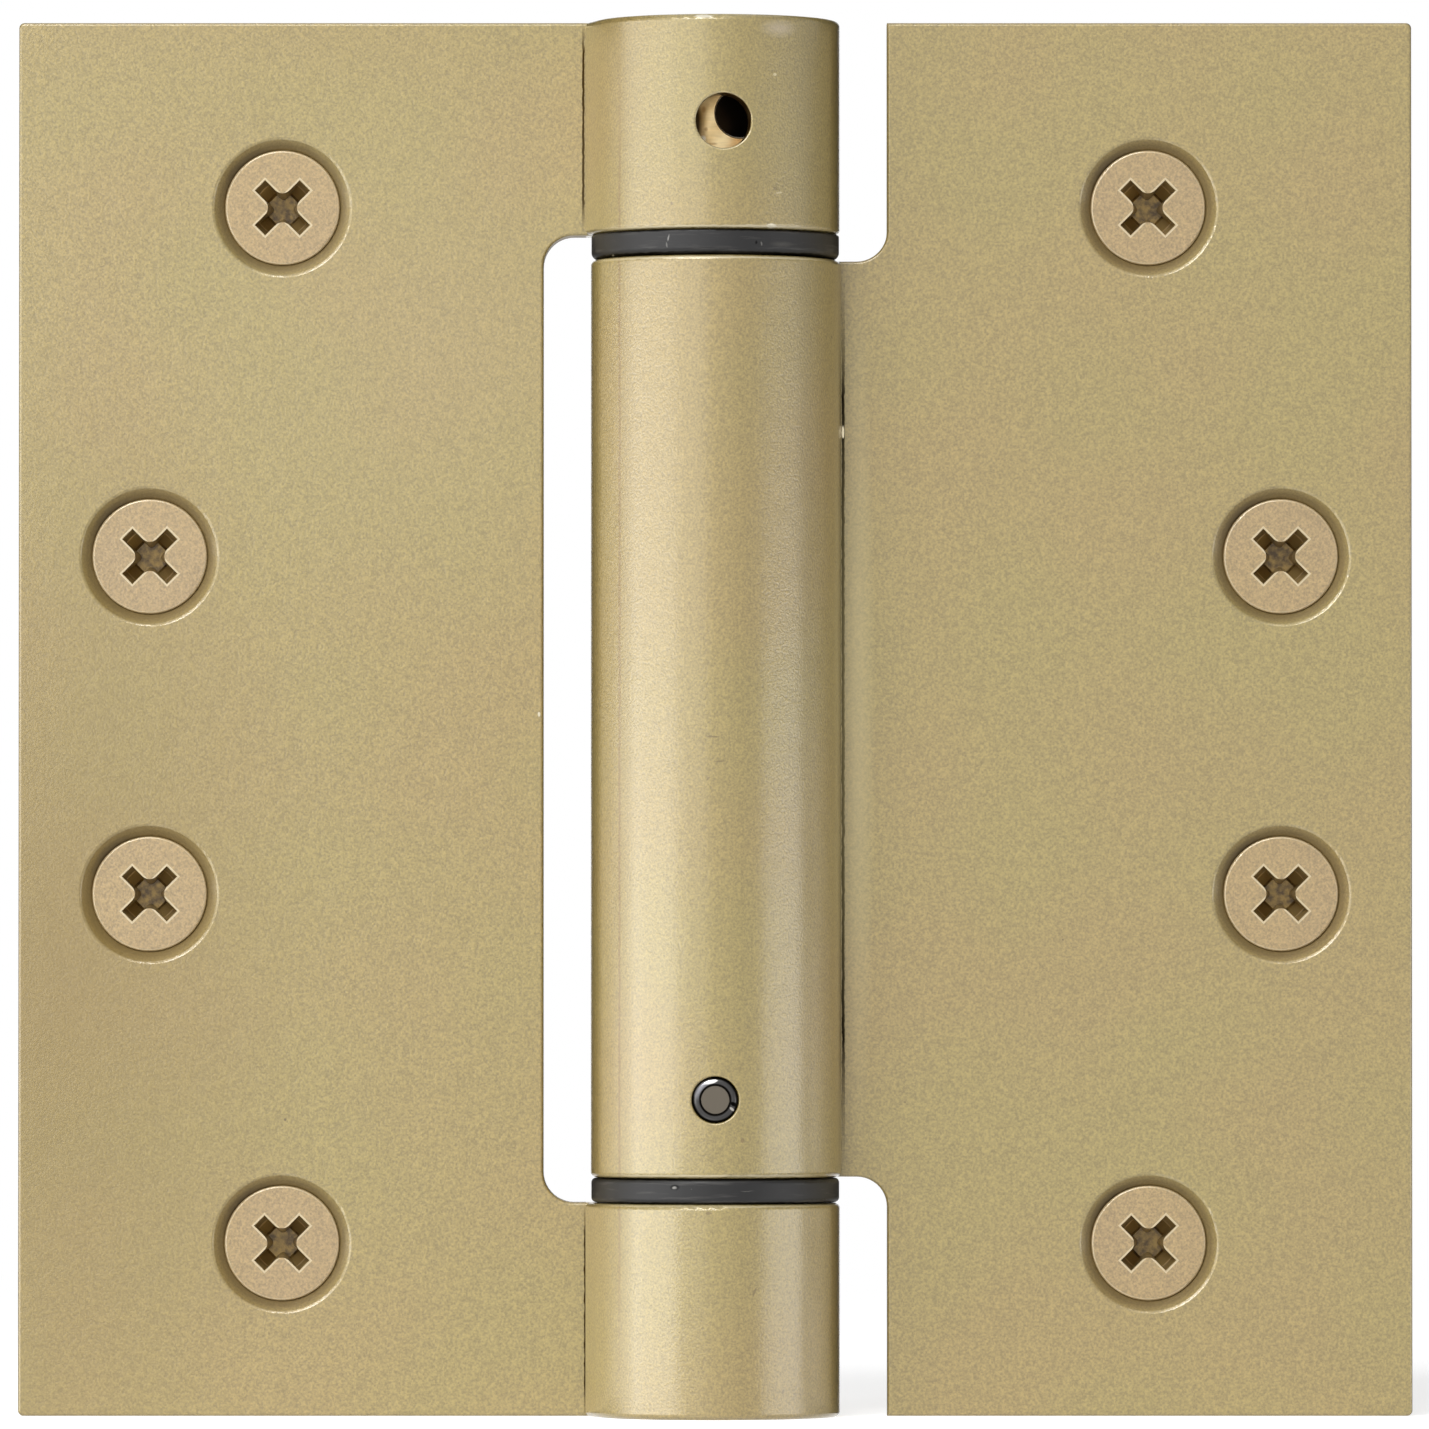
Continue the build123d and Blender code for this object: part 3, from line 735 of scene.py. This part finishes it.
@dataclass
class Screws:
    """The eight flat-head wood screws, with the threads that the solids leave off. Sizes in millimetres."""

    finish: ScrewEnamel
    names: tuple[tuple[Body, str], ...] = ((Body.FRAME, "frame_screw"), (Body.LEAF, "leaf_screw"))
    count: int = 4
    pitch: float = 2.31
    core: float = 1.95
    crest: float = 2.7
    root_sink: float = 0.12
    half_base: float = 0.62
    half_crest: float = 0.06
    thread_start: float = 12.7
    run_in: float = 1.2
    taper_length: float = 6.5
    tip_gap: float = 0.5
    steps_per_turn: int = 32
    least_share: float = 0.04
    sharp_angle: float = 40.0

    def dress(self) -> None:
        """Give each screw its enamel and its thread."""
        numbers = range(1, self.count + 1)
        nodes = [f"{name}_{number}" for _, name in self.names for number in numbers]
        self.build_threads(dress_nodes(self.finish, *nodes))

    def thread_tree(self, material: Material) -> Tree:
        """Build the node tree that winds a thread round the core of each screw.

        Args:
            material: the threads' material.

        Returns:
            The tree, with the thread's sizes as inputs, in metres.
        """
        tree = bpy.data.node_groups.new("wood_screw_thread", "GeometryNodeTree")
        face = tree.interface
        face.new_socket("Geometry", in_out="INPUT", socket_type="NodeSocketGeometry")
        for label in self.tree_inputs():
            face.new_socket(label, in_out="INPUT", socket_type="NodeSocketFloat")
        face.new_socket("Geometry", in_out="OUTPUT", socket_type="NodeSocketGeometry")
        given = add_node(tree, "NodeGroupInput").outputs
        turns = add_node(tree, MATH, (given["Length"], given["Pitch"]), operation="DIVIDE")
        count = add_node(tree, MATH, (turns, given["Steps"]), operation="MULTIPLY")
        line = add_node(tree, "GeometryNodeCurvePrimitiveLine")
        fine = add_node(tree, "GeometryNodeResampleCurve", {"Curve": line, "Count": count})
        share = add_node(tree, "GeometryNodeSplineParameter").outputs["Factor"]
        along = add_node(tree, MATH, (share, given["Length"]), operation="MULTIPLY")
        left = add_node(tree, MATH, (given["Point from start"], along), operation="SUBTRACT")
        taper = add_node(tree, MATH, (left, given["Taper length"]), operation="DIVIDE", use_clamp=True)
        helix = self.wind(tree, given, fine, along, taper)
        upright = add_node(tree, "GeometryNodeSetCurveNormal", {"Curve": helix}, mode="Z_UP")
        run_in = add_node(tree, MATH, (along, given["Run-in"]), operation="DIVIDE", use_clamp=True)
        both = add_node(tree, MATH, (run_in, taper), operation="MULTIPLY")
        grown = add_node(tree, MATH, (both, self.least_share), operation="MAXIMUM")
        thread = self.sweep(tree, given, upright, grown)
        instances = {"Points": given["Geometry"], "Instance": thread, "Rotation": (radians(-90), 0.0, 0.0)}
        screws = add_node(tree, "GeometryNodeInstanceOnPoints", instances)
        real = add_node(tree, "GeometryNodeRealizeInstances", {"Geometry": screws})
        coated = add_node(tree, "GeometryNodeSetMaterial", {"Geometry": real, "Material": material})
        add_node(tree, "NodeGroupOutput", {"Geometry": coated})
        return tree

    def wind(self, tree: Tree, given: Any, line: Node, along: Node, taper: Node) -> Node:
        """Wind the thread's path round the core.

        Args:
            tree: the tree so far.
            given: the tree's input values.
            line: the line that becomes the path.
            along: how far along the axis each of its points is.
            taper: the share of its full radius that the core has there.

        Returns:
            The path.
        """
        turns = add_node(tree, MATH, (along, given["Pitch"]), operation="DIVIDE")
        turn = add_node(tree, MATH, (turns, radians(360)), operation="MULTIPLY")
        radius = add_node(tree, MATH, (given["Root radius"], taper), operation="MULTIPLY")
        sides = []
        for way in ("COSINE", "SINE"):
            share = add_node(tree, MATH, (turn,), operation=way)
            sides.append(add_node(tree, MATH, (radius, share), operation="MULTIPLY"))
        place = add_node(tree, "ShaderNodeCombineXYZ", (*sides, along))
        return add_node(tree, "GeometryNodeSetPosition", {"Geometry": line, "Position": place})

    def sweep(self, tree: Tree, given: Any, path: Node, grown: Node) -> Node:
        """Sweep the thread's ridge along its path and close both ends.

        Args:
            tree: the tree so far.
            given: the tree's input values.
            path: the thread's path.
            grown: the share of its full size that the ridge has at each point of the path.

        Returns:
            The thread.
        """
        low_base, low_crest = (
            add_node(tree, MATH, (given[name], -1.0), operation="MULTIPLY")
            for name in ("Half base", "Half crest")
        )
        corners = (
            {"Y": low_base},
            {"X": given["Height"], "Y": low_crest},
            {"X": given["Height"], "Y": given["Half crest"]},
            {"Y": given["Half base"]},
        )
        points = {
            f"Point {number}": add_node(tree, "ShaderNodeCombineXYZ", corner)
            for number, corner in enumerate(corners, 1)
        }
        ridge = add_node(tree, "GeometryNodeCurvePrimitiveQuadrilateral", points, mode="POINTS")
        swept = {"Curve": path, "Profile Curve": ridge, "Scale": grown, "Fill Caps": True}
        return add_node(tree, "GeometryNodeCurveToMesh", swept)

    def tree_inputs(self, tip: float = 0.0) -> dict[str, float]:
        """Give the tree's inputs by name, in metres.

        Args:
            tip: the screws' points' height along Y, in metres.

        Returns:
            Each input's value.
        """
        start = self.thread_start * MM
        return {
            "Pitch": self.pitch * MM,
            "Steps": float(self.steps_per_turn),
            "Root radius": (self.core - self.root_sink) * MM,
            "Height": (self.crest - self.core + self.root_sink) * MM,
            "Half base": self.half_base * MM,
            "Half crest": self.half_crest * MM,
            "Length": tip - self.tip_gap * MM - start,
            "Point from start": tip - start,
            "Taper length": self.taper_length * MM,
            "Run-in": self.run_in * MM,
        }

    def build_threads(self, material: Material) -> None:
        """Make one thread piece for each body.

        Args:
            material: the threads' material.
        """
        tree = self.thread_tree(material)
        for body, name in self.names:
            thread = self.thread_piece(tree, name, material)
            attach(thread, body.value)
            LOG.info("wound %s", thread.name)

    def thread_piece(self, tree: Tree, name: str, material: Material) -> bpy.types.Object:
        """Wind the threads of one leaf's screws as one closed mesh.

        Args:
            tree: the thread's node tree.
            name: the start of the screws' names.
            material: the threads' material.

        Returns:
            The new object, with no modifier left on it.
        """
        boxes = [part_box(f"{name}_{number}") for number in range(1, self.count + 1)]
        axes = [((low.x + high.x) / 2, self.thread_start * MM, (low.z + high.z) / 2) for low, high in boxes]
        mesh = bpy.data.meshes.new(f"{name}_axes")
        mesh.from_pydata(axes, [], [])
        made = bpy.data.objects.new(f"{name}_threads", mesh)
        bpy.context.scene.collection.objects.link(made)
        modifier = made.modifiers.new("threads", "NODES")
        modifier.node_group = tree
        values = self.tree_inputs(boxes[0][1].y)
        for socket in tree.interface.items_tree:
            if socket.in_out == "INPUT" and socket.name in values:
                modifier[socket.identifier] = values[socket.name]
        wound = made.evaluated_get(bpy.context.evaluated_depsgraph_get())
        solid = bpy.data.meshes.new_from_object(wound)
        made.modifiers.clear()
        solid.name = made.name
        solid.materials.clear()
        solid.materials.append(material)
        solid.set_sharp_from_angle(angle=radians(self.sharp_angle))
        made.data = solid
        return made


@dataclass(frozen=True)
class Softbox:
    """A softbox beside the hinge, turned to face it. Sizes in metres, angles from the camera's side."""

    name: str
    azimuth: float
    distance: float
    width: float
    height: float
    low: float
    radiance: float

    def build(self, target: Vector) -> None:
        """Hang the softbox in the scene.

        Args:
            target: the point that it faces.
        """
        turn = radians(self.azimuth)
        lamp = bpy.data.lights.new(self.name, "AREA")
        lamp.shape = "RECTANGLE"
        lamp.size = self.width
        lamp.size_y = self.height
        lamp.energy = self.radiance * self.width * self.height * pi
        made = bpy.data.objects.new(self.name, lamp)
        place = Vector((sin(turn) * self.distance, -cos(turn) * self.distance, self.low + self.height / 2))
        made.location = place
        level = Vector((target.x, target.y, place.z))
        made.rotation_euler = (level - place).to_track_quat("-Z", "Y").to_euler()
        made.visible_camera = False
        bpy.context.scene.collection.objects.link(made)


def seen(tree: Tree) -> Node:
    """Tell the rays that look at a surface or the background from those that carry its light.

    Args:
        tree: the tree to add to.

    Returns:
        A share that is 1 for what the camera, metal or glass sees.
    """
    path = add_node(tree, "ShaderNodeLightPath").outputs
    rays = (path["Is Glossy Ray"], path["Is Transmission Ray"])
    mirrored = add_node(tree, MATH, rays, operation="MAXIMUM")
    return add_node(tree, MATH, (path["Is Camera Ray"], mirrored), operation="MAXIMUM")


@dataclass(frozen=True)
class Flag:
    """A card round the hinge that the barrel mirrors, darker than the white behind it.

    Sizes in metres, angles from the camera's side.
    """

    name: str
    start: float
    end: float
    distance: float = 0.75
    low: float = -0.1
    high: float = 1.2
    panels: int = 8
    glow: float = 0.02

    def build(self) -> None:
        """Stand the card, curved round the hinge, behind the softbox on its side."""
        shape = bmesh.new()
        columns = []
        for index in range(self.panels + 1):
            turn = radians(self.start + (self.end - self.start) * index / self.panels)
            x, y = sin(turn) * self.distance, -cos(turn) * self.distance
            columns.append([shape.verts.new((x, y, height)) for height in (self.low, self.high)])
        for (low, high), (next_low, next_high) in zip(columns, columns[1:]):
            shape.faces.new((low, next_low, next_high, high))
        mesh = bpy.data.meshes.new(self.name)
        shape.to_mesh(mesh)
        shape.free()
        mesh.materials.append(self.card())
        made = bpy.data.objects.new(self.name, mesh)
        made.visible_camera = False
        bpy.context.scene.collection.objects.link(made)

    def card(self) -> Material:
        """Make matt card that is as bright as its glow to look at, and gives no light.

        Returns:
            The card's material.
        """
        made = new_material(f"{self.name}_card")
        tree = made.node_tree
        strength = add_node(tree, MATH, (seen(tree), self.glow), operation="MULTIPLY")
        glow = add_node(tree, "ShaderNodeEmission", {"Color": WHITE, "Strength": strength})
        add_node(tree, "ShaderNodeOutputMaterial", {"Surface": glow})
        return made


@dataclass
class Studio:
    """Floor, backdrop light, softboxes and camera, placed as for the photograph. Sizes in metres."""

    camera_distance: float = 1.1
    camera_height: float = 0.03654
    frame_width: float = 0.1172
    centre_x: float = -0.00006
    centre_z: float = 0.0575
    sensor: float = 36.0
    clip_start: float = 0.05
    front: float = 0.0008
    ambient: float = 0.05
    softboxes: tuple[Softbox, ...] = (
        Softbox("left_softbox", -58.0, 0.7, 0.62, 0.18, -0.08, 3.5),
        Softbox("left_edge_softbox", -88.0, 0.7, 0.3, 0.18, -0.08, 1.8),
        Softbox("left_upper_softbox", -64.4, 0.7, 0.8, 0.2, 0.1, 0.9),
        Softbox("middle_softbox", -20.0, 0.7, 0.3, 0.2, 0.0, 1.3),
        Softbox("right_softbox", 65.6, 0.7, 0.577, 0.146, -0.07, 2.7),
        Softbox("right_wide_softbox", 76.0, 0.7, 0.91, 0.1, -0.06, 0.3),
        Softbox("left_key", -35.0, 0.9, 0.5, 0.5, 0.6, 4.8),
        Softbox("middle_key", -15.0, 0.9, 0.5, 0.5, 0.6, 8.9),
        Softbox("low_key", -20.0, 0.9, 0.5, 0.5, -1.0, 1.2),
    )
    flags: tuple[Flag, ...] = (
        Flag("left_flag", -96.0, -168.0),
        Flag("right_front_flag", 18.0, 45.0, glow=0.85),
        Flag("right_side_flag", 45.0, 112.0, glow=0.62),
        Flag("right_flag", 112.0, 168.0),
    )
    paper: str = "#EDEDED"
    floor_radius: float = 6.0
    floor_sides: int = 64
    floor_fade: tuple[float, float] = (0.1, 0.5)
    floor_lift: float = 0.8

    def build(self) -> None:
        """Set up the whole studio."""
        self.place_camera()
        for softbox in self.softboxes:
            softbox.build(Vector((0, 0, self.centre_z)))
        for flag in self.flags:
            flag.build()
        self.light_world()
        self.lay_floor()

    def place_camera(self) -> None:
        """Put the camera square to the leaves, a little below their middle."""
        lens = bpy.data.cameras.new("camera")
        lens.sensor_width = self.sensor
        lens.lens = self.sensor * self.camera_distance / self.frame_width
        lens.clip_start = self.clip_start
        made = bpy.data.objects.new("camera", lens)
        made.location = (self.centre_x, self.front - self.camera_distance, self.camera_height)
        aim = Vector((self.centre_x, self.front, self.centre_z)) - made.location
        made.rotation_euler = aim.to_track_quat("-Z", "Y").to_euler()
        bpy.context.scene.collection.objects.link(made)
        bpy.context.scene.camera = made

    def light_world(self) -> None:
        """Make the surroundings white to look at and dim as a light."""
        world = bpy.data.worlds.new("studio")
        world.use_nodes = True
        tree = world.node_tree
        tree.nodes.clear()
        white = add_node(tree, "ShaderNodeBackground", {"Color": WHITE, "Strength": 1.0})
        dim = add_node(tree, "ShaderNodeBackground", {"Color": WHITE, "Strength": self.ambient})
        mixed = add_node(tree, "ShaderNodeMixShader", (seen(tree), dim, white))
        add_node(tree, "ShaderNodeOutputWorld", {"Surface": mixed})
        bpy.context.scene.world = world

    def floor_material(self) -> Material:
        """Make matt white paper that fades to the background's white further out.

        Returns:
            The floor's material.
        """
        made = new_material("white_paper")
        tree = made.node_tree
        paper = add_node(tree, "ShaderNodeBsdfDiffuse", {"Color": linear(self.paper)})
        lifted = add_node(tree, MATH, (seen(tree), self.floor_lift), operation="MULTIPLY")
        lift = add_node(tree, "ShaderNodeEmission", {"Color": WHITE, "Strength": lifted})
        near = add_node(tree, "ShaderNodeAddShader", (paper, lift))
        shown = add_node(tree, "ShaderNodeMix", {0: seen(tree), 2: self.ambient, 3: 1.0})
        far = add_node(tree, "ShaderNodeEmission", {"Color": WHITE, "Strength": shown})
        place = add_node(tree, "ShaderNodeTexCoord").outputs["Object"]
        reach = add_node(tree, VECTOR_MATH, (place,), operation="LENGTH").outputs["Value"]
        fade = add_node(tree, MAP_RANGE, (reach, *self.floor_fade), interpolation_type="SMOOTHSTEP")
        mixed = add_node(tree, "ShaderNodeMixShader", (fade, near, far))
        add_node(tree, "ShaderNodeOutputMaterial", {"Surface": mixed})
        return made

    def lay_floor(self) -> None:
        """Lay the floor under the hinge's lower end."""
        shape = bmesh.new()
        bmesh.ops.create_circle(shape, cap_ends=True, segments=self.floor_sides, radius=self.floor_radius)
        mesh = bpy.data.meshes.new("floor")
        shape.to_mesh(mesh)
        shape.free()
        floor = bpy.data.objects.new("floor", mesh)
        floor.location.z = CAD_BOX[0].z
        # The photographed hinge lay flat, with light from this side too, so the low lamp shines through the
        # floor and the barrel doesn't mirror it.
        floor.visible_shadow = False
        floor.visible_glossy = False
        mesh.materials.append(self.floor_material())
        bpy.context.scene.collection.objects.link(floor)


BARREL_MARKS = (
    # Painted deep shade in the creases beside the barrel and the end knuckles, a burr, and a painted dark
    # line where a reflection on the barrel ends.
    Mark((10.5, 0.9, 57.15), (0.14, 0.9, 37.6), "#140E06", square=True, deep=True),
    Mark((10.47, 0.6, 80.7), (0.12, 0.9, 0.6), "#F0E4C4"),
    Mark((-10.66, 0.9, 8.6), (0.11, 0.9, 8.9), "#3A2A10", square=True, deep=True),
    Mark((-10.83, 0.9, 105.7), (0.11, 0.9, 8.9), "#3A2A10", square=True, deep=True),
    # A painted dark line along the edge of a reflection down the barrel.
    Mark((-7.8, -6.6, 57.15), (0.1, 1.0, 57.0), "#8A6838", 0.5, square=True),
    # The knuckles' ends beside the rings, painted pale as a highlight along their rounded edges.
    *(
        Mark((0.0, -7.0, z), (9.9, 5.0, half), "#EBDDB4", strength, square=True)
        for z, half, strength in ((97.0, 0.13, 0.8), (94.5, 0.12, 0.7), (19.8, 0.13, 0.7), (17.35, 0.1, 0.5))
    ),
    # Chips, scratches and grit on the barrel.
    Mark((4.6, -9.0, 97.05), (0.5, 1.0, 0.22), "#F4EACB"),
    Mark((-0.9, -9.8, 114.1), (0.9, 0.8, 0.16), "#EFE6CC"),
    Mark((5.2, -8.7, 113.2), (1.9, 2.0, 0.85), "#D6C6AC", 0.55, softness=0.8),
    Mark((4.84, -9.0, 109.4), (0.16, 0.8, 0.14), "#EADBAE", 0.8),
    Mark((4.9, -9.0, 100.1), (0.28, 0.8, 0.1), "#7A6838", 0.7, turn=(0.0, 35.0, 0.0)),
    Mark((5.2, -8.8, 99.8), (0.3, 0.8, 0.08), "#EADBAE", 0.7),
    Mark((-3.55, -9.5, 98.9), (0.12, 0.8, 0.16), "#6F5C30", 0.7),
    Mark((-4.85, -9.0, 56.6), (0.34, 0.8, 0.07), "#8C7A50", 0.7, turn=(0.0, 35.0, 0.0)),
    Mark((-4.55, -9.0, 56.1), (0.08, 0.8, 0.35), "#8C7A50", 0.7, turn=(0.0, -14.0, 0.0)),
    Mark((-0.2, -10.0, 55.5), (0.6, 0.8, 0.08), "#6F5C30", 0.7),
    Mark((0.37, -10.0, 53.5), (0.6, 0.8, 0.07), "#6F5C30", 0.55),
    Mark((-0.55, -10.0, 52.1), (0.22, 0.8, 0.09), "#6F5C30", 0.6, turn=(0.0, -45.0, 0.0)),
    Mark((-0.5, -10.0, 16.8), (0.32, 0.8, 0.14), "#7A6434", 0.7),
    Mark((3.2, -9.6, 10.4), (0.13, 0.8, 0.4), "#6F5C30", 0.6, turn=(0.0, 20.0, 0.0)),
    Mark((5.5, -8.5, 2.3), (0.12, 0.8, 0.25), "#6F5C30", 0.6, turn=(0.0, 25.0, 0.0)),
    Mark((2.2, -9.9, 22.7), (0.16, 0.8, 0.2), "#7A5C30", 0.6, turn=(0.0, 30.0, 0.0)),
    # A painted glow of reflected light on the barrel leaf beside the barrel, painted shade low on the frame
    # leaf and painted light near its top, and a burr in the left notch.
    Mark((11.6, 0.8, 57.15), (1.6, 0.4, 37.5), "#DCCB92", 0.45, softness=0.8),
    Mark((-56.0, 0.8, 36.0), (24.0, 1.5, 55.0), "#8E742A", 0.65, softness=0.9),
    Mark((-22.0, 0.8, 88.0), (26.0, 1.5, 26.0), "#D0C498", 0.12, softness=0.9),
    Mark((-14.44, 0.8, 57.5), (0.14, 0.9, 0.22), "#F0E6C8", 0.9),
    # A painted highlight round the tension hole's rim, and its wall dark brown with no sheen.
    Mark((0.69, -10.2, 105.6), (2.42, 1.2, 2.42), "#EADCB2", 0.35, softness=0.03),
    Mark((0.6, -8.5, 105.6), (2.29, 12.0, 2.29), "#6A4C24", softness=0.02, turn=(0.0, 0.0, 3.9), deep=True),
)
RING_MARKS = (
    # Painted shade in the gaps above and below the rings.
    *(
        Mark((0.0, 0.0, z), (12.0, 12.0, half), "#050505", square=True, deep=True)
        for z, half in ((96.9, 0.28), (94.65, 0.36), (19.65, 0.25), (17.45, 0.25))
    ),
    # Scuffs and nicks.
    Mark((-3.8, -8.9, 96.1), (0.1, 0.8, 0.42), "#B4B2AD", 0.8, turn=(0.0, 12.0, 0.0)),
    Mark((-3.95, -8.9, 95.5), (0.09, 0.8, 0.3), "#8A8884", 0.7, turn=(0.0, -15.0, 0.0)),
    Mark((3.3, -9.0, 95.7), (0.16, 0.8, 0.3), "#0A0A0A", 0.9, turn=(0.0, 25.0, 0.0), deep=True),
    Mark((3.75, -9.0, 95.6), (0.1, 0.8, 0.25), "#8C8A86", 0.7),
    Mark((5.4, -8.5, 95.6), (1.2, 1.5, 0.28), "#55534F", 0.6, softness=0.8),
    Mark((-8.3, -4.6, 94.9), (0.2, 1.0, 0.16), "#DAD8D2", 0.9),
    Mark((-3.2, -9.0, 18.9), (0.62, 0.9, 0.36), "#060606", 0.95, deep=True),
    Mark((-3.3, -9.0, 18.85), (0.34, 0.9, 0.2), "#8A8884", 0.9),
    Mark((-1.9, -9.2, 18.75), (0.12, 0.8, 0.09), "#DAD8D2", 0.9),
    Mark((2.3, -9.2, 18.6), (1.1, 0.8, 0.06), "#9A9894", 0.6),
)
SPINDLE_MARKS = (
    # A painted highlight on the bevelled rims of its holes, painted shade inside them, a painted shadow at
    # the left of the tension hole, stains behind it, and a painted glint.
    Mark((0.0, 0.0, 106.4), (6.68, 6.68, 20.0), "#FFF8E8", softness=0.005),
    Mark((0.0, 0.0, 106.4), (6.38, 6.38, 5.0), "#2A2116", softness=0.02),
    # Painted shadow of the tension hole's left edge.
    Mark((-1.95, -6.4, 105.6), (0.95, 0.9, 2.6), "#3E2C14", 0.95, softness=0.35),
    Mark((-0.95, -6.6, 106.7), (0.22, 0.6, 0.35), "#A87840", 0.6, softness=0.6),
    Mark((-0.75, -6.6, 105.1), (0.2, 0.6, 0.22), "#8A6030", 0.6, softness=0.6),
    Mark((-0.2, -6.7, 103.9), (0.5, 0.6, 0.12), "#8A6030", 0.5, softness=0.6),
    # A painted glint.
    Mark((-1.0, -6.6, 104.3), (0.3, 0.6, 0.34), "#FFFAEC", 0.9, softness=0.6),
)


def countersink_marks(places: ScrewPlaces = ScrewPlaces()) -> tuple[Mark, ...]:
    """Place the painted shadow at the upper left of each countersink, low beside the head.

    Args:
        places: the screws' places.

    Returns:
        One mark for each screw.
    """
    middle = places.middle
    return tuple(
        Mark((side * x - 2.6, 1.95, middle + way * z + 2.6), (3.2, 0.95, 3.2), "#3C2C10", 0.75, softness=0.6)
        for x, z in places.axes
        for side in (-1, 1)
        for way in (-1, 1)
    )


def pin_marks(face: str = "#6E675C") -> tuple[Mark, ...]:
    """Place the marks on the pin's domed end: its dark rim, a painted light patch and a painted highlight on
    its upper left, a dark ring painted as the shade in its groove, its face and the nick beside it.

    Args:
        face: the flat face's colour.

    Returns:
        The marks, round the pin's axis.
    """
    low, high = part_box("hub_pin")
    x, z = (low.x + high.x) / 2 / MM, (low.z + high.z) / 2 / MM
    return (
        Mark((x, -8.0, z), (1.72, 60.0, 1.72), "#4C4B4A", softness=0.04),
        # Painted light on the crown's upper left, and a painted highlight at its top.
        Mark((x - 0.8, -9.0, z + 0.8), (1.1, 60.0, 1.1), "#828286", softness=0.6),
        Mark((x - 0.35, -9.0, z + 1.45), (0.6, 60.0, 0.16), "#F2F0EC", turn=(0.0, -14.0, 0.0)),
        # A dark ring painted as the shade in the groove round the face.
        Mark((x, -8.0, z), (1.36, 60.0, 1.36), "#242220", softness=0.04),
        Mark((x, -8.0, z), (1.2, 60.0, 1.2), face, softness=0.04),
        Mark((x + 1.5, -10.0, z - 0.35), (0.34, 2.0, 0.2), "#0C0B0A", turn=(0.0, 25.0, 0.0)),
        Mark((x + 1.35, -10.0, z - 0.75), (0.24, 2.0, 0.12), "#B8B4AC", turn=(0.0, 40.0, 0.0)),
    )


def main() -> None:
    """Build and dress the hinge, then light it."""
    logging.basicConfig(level=logging.INFO, format="%(message)s")
    bpy.context.scene.view_settings.view_transform = "Standard"
    leaf_marks = BARREL_MARKS + countersink_marks()
    Leaves(BrassEnamel("brass_enamel", "#AB985A", 0.4, 0.16, leaf_marks, shade_strength=0.75)).dress()
    BearingRings(MouldedPlastic("black_acetal", "#161515", 0.48, marks=RING_MARKS)).dress()
    Mechanism(
        # Steel with a yellowed zinc plating, rubbed bright.
        spindle=TurnedMetal(
            "plated_spindle_steel", "#F4DCA8", 0.3, 0.75, SPINDLE_MARKS, 0.03, tone="#C8A66C"
        ),
        # Plain turned steel, grey and clean.
        hub=TurnedMetal("turned_hub_steel", "#9A968F", 0.35, 1.0),
        # Spring wire, dark under its oil.
        spring=TurnedMetal("oiled_spring_steel", "#4A4848", 0.4, 1.0),
        # A steel pin, ground along its length, painted near black on its side as the shade in the gap round
        # it, with a painted dark ring as the shade in the groove of its end.
        pin=TurnedMetal(
            "ground_pin_steel", "#141312", 0.3, 1.0, pin_marks(), 0.03,
            tone="#141312", stretch=(1.0, 0.15, 0.15),
        ),
        # Sintered bronze, brown and dull with oil in its pores.
        bush=TurnedMetal("sintered_bush_bronze", "#8A6C42", 0.5, 1.0),
        cap=BrassEnamel("cap_enamel", "#AB985A", 0.4, 0.16),
    ).dress()
    Screws(ScrewEnamel("screw_enamel", "#B39869", 0.4, 0.2, cloud="#BA9E68", cloud_size=4.0)).dress()
    Studio().build()


if __name__ == "__main__":
    main()
